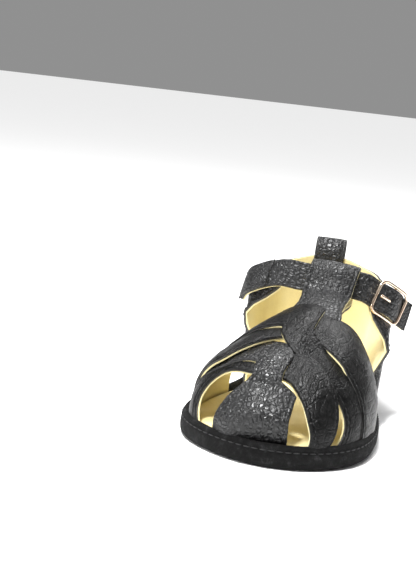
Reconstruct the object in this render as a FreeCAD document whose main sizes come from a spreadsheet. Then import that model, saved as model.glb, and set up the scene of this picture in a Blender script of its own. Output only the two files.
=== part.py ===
"""Infant woven-vamp sandal, left shoe, in millimetres.

Frame: +Z up, toe towards -Y, heel towards +Y, outer (buckle) side at +X.
The origin is on the underside of the sole, below the middle of its length.
"""
import FreeCAD, Part
import math
import os

os.makedirs("parts", exist_ok=True)
doc = FreeCAD.newDocument("strappy_sandal")
Vector = FreeCAD.Vector

# ---------------------------------------------------------------- driving dimensions
SIZES = {
    "sole_length": 118.5, "heel_y": 60.0,
    "outsole_thick": 1.4, "foam_thick": 2.6, "footbed_thick": 2.2,
    "binding_height": 7.4, "binding_wall": 2.4, "binding_round": 1.6,
    "upper_foot_z": 4.2, "last_base_z": 6.2,
    "leather_thick": 0.8, "lining_thick": 0.5, "ply_gap": 0.05,
    "weave_lift": 1.75, "shingle_lift": 2.3,
    "quarter_front_y": 8.0, "heel_height": 48.5, "heel_loop_width": 11.5,
    "strap_width": 10.2, "tbar_width": 17.4,
    "frame_wire": 1.3, "frame_length": 15.0, "frame_width": 13.4,
    "prong_wire": 1.1, "patch_thick": 0.7, "tape_thick": 0.9,
}
sheet = doc.addObject("Spreadsheet::Sheet", "sizes")
for row, (word, size) in enumerate(SIZES.items(), start=1):
    sheet.set("A%d" % row, word)
    sheet.set("B%d" % row, str(size))
    sheet.setAlias("B%d" % row, word)
doc.recompute()


def size(word):
    """One driving dimension, read back from the sheet."""
    return float(getattr(sheet, word))


PLY = size("leather_thick") + size("lining_thick") + size("ply_gap")
TOE_Y = size("heel_y") - size("sole_length")


# ---------------------------------------------------------------- foot form
def through(knots, place):
    """Smooth value at place on a curve through (place, value) knots."""
    if place <= knots[0][0]:
        return knots[0][1]
    if place >= knots[-1][0]:
        return knots[-1][1]
    last = len(knots) - 1
    i = max(k for k in range(last) if knots[k][0] <= place)
    step = knots[i + 1][0] - knots[i][0]
    slopes = [(knots[k + 1][1] - knots[k][1]) / (knots[k + 1][0] - knots[k][0]) for k in range(last)]

    def knot_slope(k):
        if k == 0:
            return slopes[0]
        if k == last:
            return slopes[-1]
        if slopes[k - 1] * slopes[k] <= 0:
            return 0.0
        return 2 * slopes[k - 1] * slopes[k] / (slopes[k - 1] + slopes[k])

    f = (place - knots[i][0]) / step
    a, b = knots[i][1], knots[i + 1][1]
    m, n = knot_slope(i) * step, knot_slope(i + 1) * step
    return (a * (2 * f**3 - 3 * f**2 + 1) + m * (f**3 - 2 * f**2 + f)
            + b * (3 * f**2 - 2 * f**3) + n * (f**3 - f**2))


# Plan outline of the sole: half-widths along the length, inner and outer side.
INNER_SIDE = [(-58.5, 4.0), (-57.4, 10.8), (-54.5, 17.8), (-50.0, 24.4), (-43.0, 30.5), (-34.0, 33.9),
              (-22.0, 33.8), (-8.0, 30.0), (12.0, 23.7), (32.0, 22.6), (45.0, 19.6), (52.5, 17.0),
              (56.5, 12.6), (59.1, 6.7), (60.0, 0.0)]
OUTER_SIDE = [(-58.5, -4.0), (-57.6, 5.0), (-55.0, 12.0), (-50.5, 18.5), (-43.0, 24.6), (-34.0, 28.0),
              (-22.0, 29.6), (-8.0, 29.2), (12.0, 26.6), (32.0, 24.0), (45.0, 19.6), (52.5, 17.0),
              (56.5, 12.6), (59.1, 6.7), (60.0, 0.0)]
# Crest of the foot form above the floor, its place across, and how square its section is.
CREST = [(-58.5, 6.5), (-56.5, 11.0), (-54.0, 14.6), (-50.0, 18.4), (-45.0, 22.4), (-40.0, 25.4),
         (-33.0, 28.8), (-24.0, 32.6), (-15.0, 35.8), (-7.0, 37.6), (3.0, 40.2), (12.0, 41.5)]
RIDGE = [(-58.5, -4.0), (-40.0, -2.5), (-20.0, 1.5), (0.0, 3.5), (12.0, 4.2)]
INNER_FULL = [(-58.5, 2.4), (-42.0, 2.3), (-32.0, 2.0), (-22.0, 1.75), (-10.0, 1.55), (12.0, 1.5)]
OUTER_FULL = [(-58.5, 2.4), (-42.0, 2.4), (-22.0, 2.1), (-10.0, 1.9), (12.0, 1.8)]
FORM_INSET = size("binding_wall") + PLY + 0.35
UPPER_INSET = size("binding_wall") + PLY + 0.3


def outline_points(inset):
    """Plan points of the sole outline, moved inwards by inset."""
    inner = [Vector(-half, y, 0) for y, half in INNER_SIDE]
    outer = [Vector(half, y, 0) for y, half in OUTER_SIDE[1:-1]]
    ring = inner + outer[::-1]
    moved = []
    for k, here in enumerate(ring):
        along = ring[(k + 1) % len(ring)] - ring[k - 1]
        moved.append(here + Vector(along.y, -along.x, 0).normalize() * inset)
    return moved


def outline_wire(inset, z=0.0):
    curve = Part.BSplineCurve()
    curve.interpolate([Vector(p.x, p.y, z) for p in outline_points(inset)], PeriodicFlag=True)
    return curve


def half_section(y, side):
    """Ridge place, half-width and fullness of the form's section on one side."""
    ridge = through(RIDGE, y)
    if side < 0:
        return ridge, ridge + through(INNER_SIDE, y) - FORM_INSET, through(INNER_FULL, y)
    return ridge, through(OUTER_SIDE, y) - FORM_INSET - ridge, through(OUTER_FULL, y)


def form_point(y, angle):
    """Point of the foot form: angle 0 is the outer foot, 90 the crest, 180 the inner foot."""
    side = -1 if angle > 90 else 1
    ridge, half, full = half_section(y, side)
    turn = math.radians(angle)
    across = abs(math.cos(turn)) ** (2.0 / full)
    rise = through(CREST, y) - size("last_base_z")
    return Vector(ridge + side * half * across, y, size("last_base_z") + rise * math.sin(turn))


def form_angle(x, y):
    """Angle of the form point above plan place (x, y)."""
    ridge = through(RIDGE, y)
    side = -1 if x < ridge else 1
    ridge, half, full = half_section(y, side)
    across = min(abs(x - ridge) / half, 1.0) ** (full / 2.0)
    return math.degrees(math.acos(across * side))


def form_normal(y, angle):
    """Outward direction of the form at one place."""
    reach = 0.6
    low = form_point(y, max(angle - 2.0, 0.5))
    high = form_point(y, min(angle + 2.0, 179.5))
    around = high - low
    along = form_point(y + reach, angle) - form_point(max(y - reach, TOE_Y), angle)
    return along.cross(around).normalize()


# Room that the binding takes round the sole edge, with a little air.
BINDING_AIR = 0.05
ring_outer = Part.Face(Part.Wire([outline_wire(-2.0, -1.0).toShape()]))
ring_inner = Part.Face(Part.Wire([outline_wire(size("binding_wall") + BINDING_AIR, -1.0).toShape()]))
BINDING_ROOM = ring_outer.cut(ring_inner).extrude(Vector(0, 0, size("binding_height") + 1.0 + BINDING_AIR))


# ---------------------------------------------------------------- solids from rows of points
def skin_solid(rows, normals, inner, outer):
    """Closed sheet solid between two offsets of a grid of points along its normals."""
    sections = []
    for points, outward in zip(rows, normals):
        under = [p + d * inner for p, d in zip(points, outward)]
        over = [p + d * outer for p, d in zip(points, outward)]
        sections.append(under + over[::-1])
    faces = []

    def quad(a, b, c, d):
        for triple in ((a, b, c), (a, c, d)):
            if (triple[1] - triple[0]).cross(triple[2] - triple[0]).Length > 1e-6:
                faces.append(Part.Face(Part.makePolygon(list(triple) + [triple[0]])))

    around = len(sections[0])
    across = around // 2
    for one, two in zip(sections, sections[1:]):
        for k in range(around):
            quad(one[k], one[(k + 1) % around], two[(k + 1) % around], two[k])
    for end in (sections[0], sections[-1]):
        for k in range(across - 1):
            quad(end[k], end[k + 1], end[around - 2 - k], end[around - 1 - k])
    solid = Part.Solid(Part.makeShell(faces))
    solid.fix(1e-4, 1e-4, 1e-4)
    if solid.Volume < 0:
        solid.reverse()
    return solid


parts = []


def leather(label, shape):
    """A sewn sheet or moulded piece held as a feature of its own."""
    feature = doc.addObject("Part::Feature", label)
    feature.Label = label
    feature.Shape = shape
    feature.Placement = FreeCAD.Placement()
    parts.append(feature)
    return feature


def two_plies(label, rows, normals, trimmed=True):
    """Lining next to the foot and leather outside it, trimmed clear of the sole binding."""
    lining, skin, gap = size("lining_thick"), size("leather_thick"), size("ply_gap")
    under = skin_solid(rows, normals, 0.0, lining)
    over = skin_solid(rows, normals, lining + gap, lining + gap + skin)
    if trimmed:
        under = under.cut(BINDING_ROOM)
        over = over.cut(BINDING_ROOM)
    over = max(over.cut(under).Solids, key=lambda piece: piece.Volume)
    leather(label + "_lining", under)
    leather(label + "_leather", over)


# A strap's foot meets the sole this far round the form, in degrees from the floor.
FOOT_ANGLE = 2.0


def strap_rows(stations, across=5, steps=5):
    """Rows over the foot form between two rails of a woven strap.

    A station holds the front rail and the rear rail, each (x, y, lift) in plan. An x of None
    stands for the foot of the strap at the sole, on the side that the station's sign gives.
    """
    rails = []
    for front, rear, side in stations:
        pair = []
        for x, y, lift in (front, rear):
            angle = form_angle(x, y) if x is not None else (180.0 - FOOT_ANGLE if side < 0 else FOOT_ANGLE)
            pair.append((y, angle, lift))
        rails.append(pair)

    def between(rail, item, t):
        knots = [(k, rails[k][rail][item]) for k in range(len(rails))]
        return through(knots, t)

    rows, normals = [], []
    count = (len(rails) - 1) * steps
    for r in range(count + 1):
        t = r / steps
        ends = [[between(rail, item, t) for item in range(3)] for rail in (0, 1)]
        points, outward = [], []
        for c in range(across):
            f = c / (across - 1)
            y, angle, lift = [ends[0][i] + (ends[1][i] - ends[0][i]) * f for i in range(3)]
            direction = form_normal(y, angle)
            points.append(form_point(y, angle) + direction * lift)
            outward.append(direction)
        rows.append(points)
        normals.append(outward)
    for at_end in (0, -1):
        if stations[at_end][0][0] is None:
            foot = [Vector(p.x, p.y, size("upper_foot_z")) for p in rows[at_end]]
            level = [Vector(d.x, d.y, 0).normalize() for d in normals[at_end]]
            place = 0 if at_end == 0 else len(rows)
            rows.insert(place, foot)
            normals.insert(place, level)
    return rows, normals


# ---------------------------------------------------------------- sole
def origin_plane(body, role):
    return next(item for item in body.Origin.OriginFeatures if item.Role == role)


def outline_plate(label, inset, base, thickness):
    """A flat layer of the sole, cut to the outline less an inset."""
    body = doc.addObject("PartDesign::Body", label)
    body.Label = label
    sketch = body.newObject("Sketcher::SketchObject", label + "_outline")
    sketch.AttachmentSupport = [(origin_plane(body, "XY_Plane"), "")]
    sketch.MapMode = "FlatFace"
    sketch.addGeometry(outline_wire(inset), False)
    pad = body.newObject("PartDesign::Pad", label + "_pad")
    pad.Profile = sketch
    pad.setExpression("Length", thickness)
    body.setExpression("Placement.Base.z", base)
    parts.append(body)
    return body


EDGE_GAP = 0.05
UPPER_SLOT = size("binding_wall") + PLY + 0.9
outline_plate("outsole", size("binding_wall") + EDGE_GAP, "0", "sizes.outsole_thick")
outline_plate("foam_midsole", UPPER_SLOT, "sizes.outsole_thick + 0.05", "sizes.foam_thick")
outline_plate("footbed", UPPER_SLOT, "sizes.outsole_thick + sizes.foam_thick + 0.1", "sizes.footbed_thick")


def binding_ring():
    """Twill tape folded round the sole edge, one rounded ring."""
    body = doc.addObject("PartDesign::Body", "sole_binding")
    body.Label = "sole_binding"
    sketch = body.newObject("Sketcher::SketchObject", "binding_outline")
    sketch.AttachmentSupport = [(origin_plane(body, "XY_Plane"), "")]
    sketch.MapMode = "FlatFace"
    sketch.addGeometry(outline_wire(0.0), False)
    pad = body.newObject("PartDesign::Pad", "binding_pad")
    pad.Profile = sketch
    pad.setExpression("Length", "sizes.binding_height")
    hole = body.newObject("Sketcher::SketchObject", "binding_hole")
    hole.AttachmentSupport = [(origin_plane(body, "XY_Plane"), "")]
    hole.MapMode = "FlatFace"
    hole.addGeometry(outline_wire(size("binding_wall")), False)
    doc.recompute()
    before = body.Shape.Volume
    pocket = body.newObject("PartDesign::Pocket", "binding_pocket")
    pocket.Profile = hole
    pocket.Type = "ThroughAll"
    pocket.Midplane = True
    doc.recompute()
    if body.Shape.Volume > 0.5 * before:
        raise RuntimeError("the binding's middle was not cut")
    rims = []
    sole_width = outline_wire(0.0).toShape().BoundBox.XLength
    for k, edge in enumerate(pocket.Shape.Edges, start=1):
        if edge.Length > 2 * size("sole_length") and edge.BoundBox.XLength > 0.98 * sole_width:
            rims.append("Edge%d" % k)
    fillet = body.newObject("PartDesign::Fillet", "binding_rounding")
    fillet.Base = (pocket, rims)
    fillet.setExpression("Radius", "sizes.binding_round")
    parts.append(body)


binding_ring()

# ---------------------------------------------------------------- woven vamp
LIFT = size("weave_lift")
SHINGLE = size("shingle_lift")
OVER_SHINGLE = SHINGLE + 0.8
FOOT = None

# First cross strap: from the inner side, under the toe tongue, to the outer toe corner.
CROSS_STRAP_ONE = [
    ((FOOT, -44.0, 0), (FOOT, -36.0, 0), -1),
    ((-19.5, -41.0, 0), (-19.0, -33.0, 0), -1),
    ((-10.5, -42.2, 0), (-10.0, -33.8, 0), -1),
    ((-4.5, -42.6, 0), (-4.0, -34.0, 0), -1),
    ((1.5, -43.6, 0), (4.0, -34.8, 0), 1),
    ((6.6, -47.2, 0), (13.2, -40.2, 0), 1),
    ((FOOT, -53.6, 0), (FOOT, -47.8, 0), 1),
]
# Second cross strap: from the inner side, under the instep tongue, to the outer side.
CROSS_STRAP_TWO = [
    ((FOOT, -19.5, 0), (FOOT, -12.0, 0), -1),
    ((-24.6, -26.0, 1.4), (-25.4, -17.6, 0), -1),
    ((-19.5, -31.0, OVER_SHINGLE), (-21.0, -22.0, 0.6), -1),
    ((-12.0, -31.0, OVER_SHINGLE), (-12.5, -21.0, 0.4), -1),
    ((-4.3, -26.6, 1.4), (-5.0, -17.4, 0), -1),
    ((4.6, -25.0, 0.6), (5.5, -14.0, 0), 1),
    ((13.7, -29.6, SHINGLE), (15.0, -18.5, 0), 1),
    ((20.0, -33.4, SHINGLE), (22.3, -25.5, 0), 1),
    ((FOOT, -37.6, 0), (FOOT, -31.0, 0), 1),
]
# Instep tongue: from the outer side behind the first strap, over the second, to the inner side.
INSTEP_TONGUE = [
    ((FOOT, -45.8, 0), (FOOT, -38.4, 0), 1),
    ((14.0, -38.6, 0), (18.0, -32.4, 0), 1),
    ((5.0, -33.8, 0.6), (9.6, -28.9, 0.1), 1),
    ((-0.4, -29.8, 2.6), (5.0, -26.0, 1.5), 1),
    ((-4.4, -24.6, 3.0), (4.6, -20.4, 2.2), 1),
    ((-5.6, -20.6, LIFT + 0.3), (4.5, -11.8, LIFT), -1),
    ((-12.5, -18.0, LIFT), (-9.0, -9.6, 1.5), -1),
    ((-20.0, -15.0, LIFT), (-18.0, -6.5, 0), -1),
    ((FOOT, -9.5, 0), (FOOT, -3.0, 0), -1),
]
for label, stations in (("cross_strap_front", CROSS_STRAP_ONE), ("cross_strap_rear", CROSS_STRAP_TWO),
                        ("instep_tongue", INSTEP_TONGUE)):
    rows, normals = strap_rows(stations)
    two_plies(label, rows, normals)

# Toe tongue: fans out from the toe edge, narrows, crosses the first strap and turns inwards.
TOE_FAN_CENTRE = Vector(-3.5, -44.0, 0)
TOE_FAN = (202.0, 305.0)
FAN_SHARES = (0.0, 0.02, 0.08, 0.2, 0.4, 0.7)
TOE_TONGUE = [
    ((-11.6, -44.8, 0), (3.6, -47.4, 0), -1),
    ((-10.0, -43.4, 1.3), (-1.4, -44.6, 1.3), -1),
    ((-9.8, -41.4, LIFT), (-0.8, -41.6, LIFT), -1),
    ((-9.8, -38.6, LIFT), (0.2, -37.4, LIFT), -1),
    ((-13.2, -36.4, SHINGLE), (-1.6, -33.0, 1.2), -1),
    ((-19.0, -35.0, SHINGLE), (-11.0, -28.2, 0), -1),
    ((-24.0, -33.0, 1.2), (-21.5, -26.2, 0), -1),
    ((FOOT, -31.0, 0), (FOOT, -23.5, 0), -1),
]


def toe_edge(bearing):
    """Plan place on the foot of the form, seen from the fan centre along a bearing."""
    direction = Vector(math.cos(math.radians(bearing)), math.sin(math.radians(bearing)), 0)
    near, far = 0.0, 40.0
    for _ in range(40):
        middle = (near + far) / 2
        place = TOE_FAN_CENTRE + direction * middle
        inside = place.y > TOE_Y + FORM_INSET
        if inside:
            side = -1 if place.x < through(RIDGE, place.y) else 1
            ridge, half, _full = half_section(place.y, side)
            inside = abs(place.x - ridge) < half
        if inside:
            near = middle
        else:
            far = middle
    return TOE_FAN_CENTRE + direction * near, direction


def toe_fan_rows(across=7):
    """Rows that follow the toe edge before the tongue narrows."""
    rows, normals = [], []
    bearings = [TOE_FAN[0] + (TOE_FAN[1] - TOE_FAN[0]) * c / (across - 1) for c in range(across)]
    edges = [toe_edge(bearing) for bearing in bearings]
    rows.append([Vector(p.x, p.y, size("upper_foot_z")) for p, d in edges])
    normals.append([d for p, d in edges])
    front, rear, _side = TOE_TONGUE[0]
    for share in FAN_SHARES:
        points, outward = [], []
        for c, (place, direction) in enumerate(edges):
            f = c / (across - 1)
            neck = Vector(front[0] + (rear[0] - front[0]) * f, front[1] + (rear[1] - front[1]) * f, 0)
            spot = place + (neck - place) * share
            angle = form_angle(spot.x, spot.y)
            points.append(form_point(spot.y, angle))
            level = 1.0 - share / FAN_SHARES[-1]
            outward.append((form_normal(spot.y, angle) + direction * level).normalize())
        rows.append(points)
        normals.append(outward)
    return rows, normals


fan_rows, fan_normals = toe_fan_rows()
neck_rows, neck_normals = strap_rows(TOE_TONGUE, across=7)
two_plies("toe_tongue", fan_rows + neck_rows, fan_normals + neck_normals)


# ---------------------------------------------------------------- quarters
QUARTER_TOP = [(0.0, 37.5), (0.1, 41.0), (0.35, 43.5), (0.7, 46.2), (0.92, size("heel_height")),
               (1.0, size("heel_height"))]
QUARTER_FRONT = [(0.0, 9.5), (8.0, 11.5), (16.0, 16.0), (24.0, 20.5), (30.0, 22.4), (36.0, 20.5)]
QUARTER_FLARE = {-1: [(0.0, 4.6), (0.45, 4.2), (0.8, 2.0), (1.0, 1.0)],
                 1: [(0.0, 5.6), (0.45, 5.0), (0.8, 2.4), (1.0, 1.0)]}
# The front of each quarter bends in towards the ankle, from this place and height on.
BEND_IN = {-1: 7.2, 1: 16.5}
BEND_FROM_Y, BEND_RUN_Y, BEND_FROM_Z, BEND_RUN_Z = 30.0, 11.0, 17.0, 20.0


# The heel's plan turns as a quarter ellipse from this place on.
HEEL_TURN_Y, HEEL_TURN_STEPS = 45, 18


def heel_path(side, inset):
    """Plan points from the middle of the shoe round to the back of the heel, with their places."""
    half = INNER_SIDE if side < 0 else OUTER_SIDE
    knots = [(y, side * w) for y, w in half if y <= HEEL_TURN_Y + 3.0]
    path = [Vector(through(knots, y), y, 0) for y in range(int(size("quarter_front_y")), HEEL_TURN_Y + 1)]
    turn_y = path[-1].y
    wide = abs(path[-1].x)
    deep = size("heel_y") - turn_y
    for k in range(1, HEEL_TURN_STEPS + 1):
        turn = math.radians(90.0 * k / HEEL_TURN_STEPS)
        path.append(Vector(side * wide * math.cos(turn), turn_y + deep * math.sin(turn), 0))
    run = [0.0]
    for one, two in zip(path, path[1:]):
        run.append(run[-1] + (two - one).Length)
    places = [r / run[-1] for r in run]
    moved = []
    for k, here in enumerate(path):
        ahead = path[min(k + 1, len(path) - 1)] - path[max(k - 1, 0)]
        if k == len(path) - 1:
            ahead = Vector(-side, 0, 0)
        outward = Vector(ahead.y, -ahead.x, 0).normalize() * (1 if side > 0 else -1)
        moved.append((here - outward * inset, outward))
    return places, moved


def wall_place(side, place, z):
    """Point of the quarter's inner face and its outward direction."""
    places, moved = HEEL_PATHS[side]
    k = min(max(i for i, p in enumerate(places) if p <= place), len(places) - 2)
    f = (place - places[k]) / (places[k + 1] - places[k])
    spot = moved[k][0] + (moved[k + 1][0] - moved[k][0]) * f
    outward = (moved[k][1] + (moved[k + 1][1] - moved[k][1]) * f).normalize()
    rise = max(z - size("binding_height"), 0.0) / size("heel_height")
    bulge = through(QUARTER_FLARE[side], place) * math.sin(min(rise * 1.75, 1.0) * math.pi / 2)
    tuck = 2.2 * max(rise - 0.55, 0.0)
    forward = min(max((BEND_FROM_Y - spot.y) / BEND_RUN_Y, 0.0), 1.2)
    upward = min(max((z - BEND_FROM_Z) / BEND_RUN_Z, 0.0), 1.0)
    bend = BEND_IN[side] * forward**1.5 * upward
    spot = spot + outward * (bulge - tuck - bend)
    turn = Vector(0, -1, 0) * (BEND_IN[side] * 1.5 * forward**0.5 * upward / BEND_RUN_Y)
    return Vector(spot.x, spot.y, z), (outward + turn).normalize()


HEEL_PATHS = {side: heel_path(side, UPPER_INSET) for side in (-1, 1)}
HEEL_SEAM = 0.997


def quarter_rows(side, high=9, long=22):
    places, moved = HEEL_PATHS[side]
    foot = size("upper_foot_z")
    rows, normals = [], []
    for j in range(long + 1):
        share = j / long
        points, outward = [], []
        for f in range(high + 1):
            up = f / high
            front_z = foot + (through(QUARTER_TOP, 0.0) - foot) * up
            front_y = through(QUARTER_FRONT, front_z)
            front = next(p for p, (spot, _d) in zip(places, moved) if spot.y >= front_y)
            place = front + (HEEL_SEAM - front) * share
            z = foot + (through(QUARTER_TOP, place if up == 1.0 else share) - foot) * up
            point, direction = wall_place(side, place, z)
            points.append(point)
            outward.append(direction)
        rows.append(points)
        normals.append(outward)
    return rows, normals


for label, side in (("inner_quarter", -1), ("outer_quarter", 1)):
    rows, normals = quarter_rows(side)
    two_plies(label, rows, normals)


# ---------------------------------------------------------------- bands: T-bar, ankle strap, heel loop
def band_rows(path, half_widths, wide, crowns=None, across=3):
    """Rows of a band: centres, half-widths, one width direction, and how far its edges droop."""
    if not isinstance(half_widths, list):
        half_widths = [half_widths] * len(path)
    if crowns is None:
        crowns = [0.0] * len(path)
    rows, normals = [], []
    for k, here in enumerate(path):
        along = (path[min(k + 1, len(path) - 1)] - path[max(k - 1, 0)]).normalize()
        outward = along.cross(wide).normalize()
        points = []
        for c in range(across):
            share = 2.0 * c / (across - 1) - 1.0
            points.append(here + wide * half_widths[k] * share - outward * crowns[k] * share**2)
        rows.append(points)
        normals.append([outward] * across)
    return rows, normals


def smooth_path(points, steps=6):
    """Catmull-Rom run through a few hand-set points."""
    run = []
    last = len(points) - 1
    for k in range(last):
        a, b, c, d = points[max(k - 1, 0)], points[k], points[k + 1], points[min(k + 2, last)]
        for n in range(steps):
            f = n / steps
            run.append(b * (1.5 * f**3 - 2.5 * f**2 + 1) + c * (2 * f**2 - 1.5 * f**3 + 0.5 * f)
                       + a * (f**2 - 0.5 * f**3 - 0.5 * f) + d * (0.5 * f**3 - 0.5 * f**2))
    run.append(points[last])
    return run


# Ankle strap: inner face along its middle. It is sewn to the inner quarter and ends at the T-bar.
STRAP_WIDE = Vector(0.16, 0.32, 0.93).normalize()
STRAP_FIXED = [Vector(-26.6, 26.4, 36.5), Vector(-23.4, 22.7, 40.9), Vector(-13.6, 19.4, 46.0),
               Vector(-4.6, 17.9, 46.0), Vector(4.5, 17.7, 46.2), Vector(14.9, 18.5, 45.35)]
STRAP_FLAP = [Vector(15.4, 18.65, 45.25), Vector(17.4, 19.6, 44.6), Vector(19.3, 21.2, 43.3)]
half_strap = size("strap_width") / 2

# Buckle axes: u along the strap, v up across it, n outwards; the centre is on the frame's plane.
BUCKLE_CENTRE = Vector(26.1, 23.8, 40.0)
BUCKLE_U = Vector(0.676, 0.563, -0.472).normalize()
BUCKLE_N = Vector(0.685, -0.715, 0.128)
BUCKLE_N = (BUCKLE_N - BUCKLE_U * BUCKLE_N.dot(BUCKLE_U)).normalize()
BUCKLE_V = BUCKLE_N.cross(BUCKLE_U)


def on_buckle(u, v, n):
    return BUCKLE_CENTRE + BUCKLE_U * u + BUCKLE_V * v + BUCKLE_N * n


# The flap runs under both end bars of the buckle and over its middle bar: (u, n) of its inner face.
FLAP_WAVE = [(-6.8, -2.7), (-3.2, -0.8), (0.0, 0.0), (3.2, -0.8), (6.4, -2.7), (8.6, -2.8), (11.0, -3.0)]
flap_path = smooth_path(STRAP_FLAP + [on_buckle(u, 0, n) for u, n in FLAP_WAVE])
# Slot in the flap for the prong's eye: its ends along u and its half-width along v.
PRONG_SLOT = (-2.9, 2.4, 1.15)


def strap_plies(label, path, openings=()):
    """Lining and leather of a flat strap, with openings cut through both plies."""
    rows, normals = band_rows(path, half_strap, STRAP_WIDE)
    lining, skin, gap = size("lining_thick"), size("leather_thick"), size("ply_gap")
    for name, low, high in (("_lining", 0.0, lining), ("_leather", lining + gap, lining + gap + skin)):
        solid = skin_solid(rows, normals, low, high)
        for opening in openings:
            solid = solid.cut(opening)
        leather(label + name, solid)


def buckle_box(u_low, u_high, v_half, n_low, n_high):
    """Block along the buckle's axes."""
    block = Part.makeBox(u_high - u_low, 2 * v_half, n_high - n_low)
    block.translate(Vector(u_low, -v_half, n_low))
    return block.transformGeometry(BUCKLE_MATRIX)


BUCKLE_MATRIX = FreeCAD.Matrix(
    BUCKLE_U.x, BUCKLE_V.x, BUCKLE_N.x, BUCKLE_CENTRE.x,
    BUCKLE_U.y, BUCKLE_V.y, BUCKLE_N.y, BUCKLE_CENTRE.y,
    BUCKLE_U.z, BUCKLE_V.z, BUCKLE_N.z, BUCKLE_CENTRE.z, 0, 0, 0, 1)
BUCKLE_PLACE = FreeCAD.Placement(BUCKLE_MATRIX)

strap_plies("ankle_strap", smooth_path(STRAP_FIXED))
PUNCH_DEPTH = (-5.0, 4.0)
prong_opening = buckle_box(*PRONG_SLOT, *PUNCH_DEPTH)
SPARE_HOLE_U, SPARE_HOLE_HALF = -11.4, 0.8
spare_hole = buckle_box(SPARE_HOLE_U - SPARE_HOLE_HALF, SPARE_HOLE_U + SPARE_HOLE_HALF, SPARE_HOLE_HALF,
                        *PUNCH_DEPTH)
strap_plies("closing_flap", flap_path, (prong_opening, spare_hole))

# Stitched tab over the inner end of the ankle strap.
tab_path = [p for p in smooth_path(STRAP_FIXED) if p.x < -16.0]
rows, normals = band_rows(tab_path, half_strap, STRAP_WIDE)
tab_under = PLY + size("ply_gap")
leather("strap_anchor_tab", skin_solid(rows, normals, tab_under, tab_under + size("leather_thick")))

# Hook patch under the free end of the flap, loop patch on the outer quarter behind it.
HOOK_REACH = (2.4, 9.6)
hook_path = [p for p in flap_path
             if HOOK_REACH[0] <= (p - BUCKLE_CENTRE).dot(BUCKLE_U) <= HOOK_REACH[1]]
PATCH_MARGIN = 1.0
rows, normals = band_rows(hook_path, half_strap - PATCH_MARGIN, STRAP_WIDE)
leather("hook_patch", skin_solid(rows, normals, -size("ply_gap") - size("patch_thick"), -size("ply_gap")))
LOOP_GAP = 0.35
LOOP_PLACES, LOOP_HEIGHTS = (0.27, 0.31, 0.35, 0.39), (29.5, 32.0, 34.5, 37.0)
rows, normals = [], []
for place in LOOP_PLACES:
    spots = [wall_place(1, place, z) for z in LOOP_HEIGHTS]
    rows.append([point for point, _direction in spots])
    normals.append([direction for _point, direction in spots])
loop_under = PLY + LOOP_GAP
leather("loop_patch", skin_solid(rows, normals, loop_under, loop_under + size("patch_thick")))

# T-bar: one strip from under the instep tongue, over the ankle strap, and back under itself.
TBAR_WIDE = Vector(-1, 0, 0)
half_tbar = size("tbar_width") / 2
TBAR_PATH = [(3.2, -10.4, 37.2), (3.4, -5.0, 38.7), (3.6, 0.5, 39.9), (3.9, 6.5, 41.0), (4.2, 12.2, 42.6),
             (4.4, 15.0, 46.6), (4.7, 16.9, 50.6), (5.0, 18.9, 52.6), (5.0, 21.2, 51.8), (4.8, 20.8, 47.4),
             (4.6, 19.0, 43.0), (4.4, 16.4, 40.2), (4.1, 11.0, 39.7), (3.9, 6.0, 39.2), (3.8, 2.4, 38.6)]
TBAR_HALF = [6.4, 6.9, 7.0, 7.6, half_tbar, half_tbar, half_tbar, half_tbar, half_tbar, half_tbar,
             half_tbar, half_tbar, 8.0, 7.4, 7.0]
TBAR_CROWN = [1.3, 1.3, 1.2, 0.9, 0.5, 0.2, 0.2, 0.2, 0.2, 0.2, 0.2, -0.5, -0.9, -1.2, -1.2]
TBAR_STEPS = 4


def spread(values, steps):
    """Values between the given ones, to match a smoothed path."""
    run = []
    for one, two in zip(values, values[1:]):
        run += [one + (two - one) * n / steps for n in range(steps)]
    return run + [values[-1]]


tbar_centres = smooth_path([Vector(*p) for p in TBAR_PATH], TBAR_STEPS)
tbar_rows, tbar_normals = band_rows(tbar_centres, spread(TBAR_HALF, TBAR_STEPS), TBAR_WIDE,
                                    spread(TBAR_CROWN, TBAR_STEPS), across=5)
two_plies("tbar_loop", tbar_rows, tbar_normals, trimmed=False)

# Heel pull loop: a folded tape sewn inside and outside the top of the heel.
HEEL_LOOP = [(55.8, 40.5), (55.9, 44.5), (56.0, 48.5), (56.9, 52.2), (58.8, 55.0), (60.6, 54.9),
             (61.2, 52.4), (60.0, 49.2), (58.75, 46.5), (58.75, 43.5), (58.75, 40.5)]
loop_path = smooth_path([Vector(0, y, z) for y, z in HEEL_LOOP], 4)
rows, normals = band_rows(loop_path, size("heel_loop_width") / 2, Vector(-1, 0, 0))
leather("heel_pull_loop", skin_solid(rows, normals, 0.0, size("tape_thick")))


# ---------------------------------------------------------------- buckle
def bound_cylinder(label, radius, height, base, axis):
    """A round bar in the buckle's own axes, its size bound to the sheet."""
    bar = doc.addObject("Part::Cylinder", label)
    bar.setExpression("Radius", radius)
    bar.setExpression("Height", height)
    bar.Placement = BUCKLE_PLACE.multiply(FreeCAD.Placement(base, FreeCAD.Rotation(Vector(0, 0, 1), axis)))
    return bar


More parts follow.
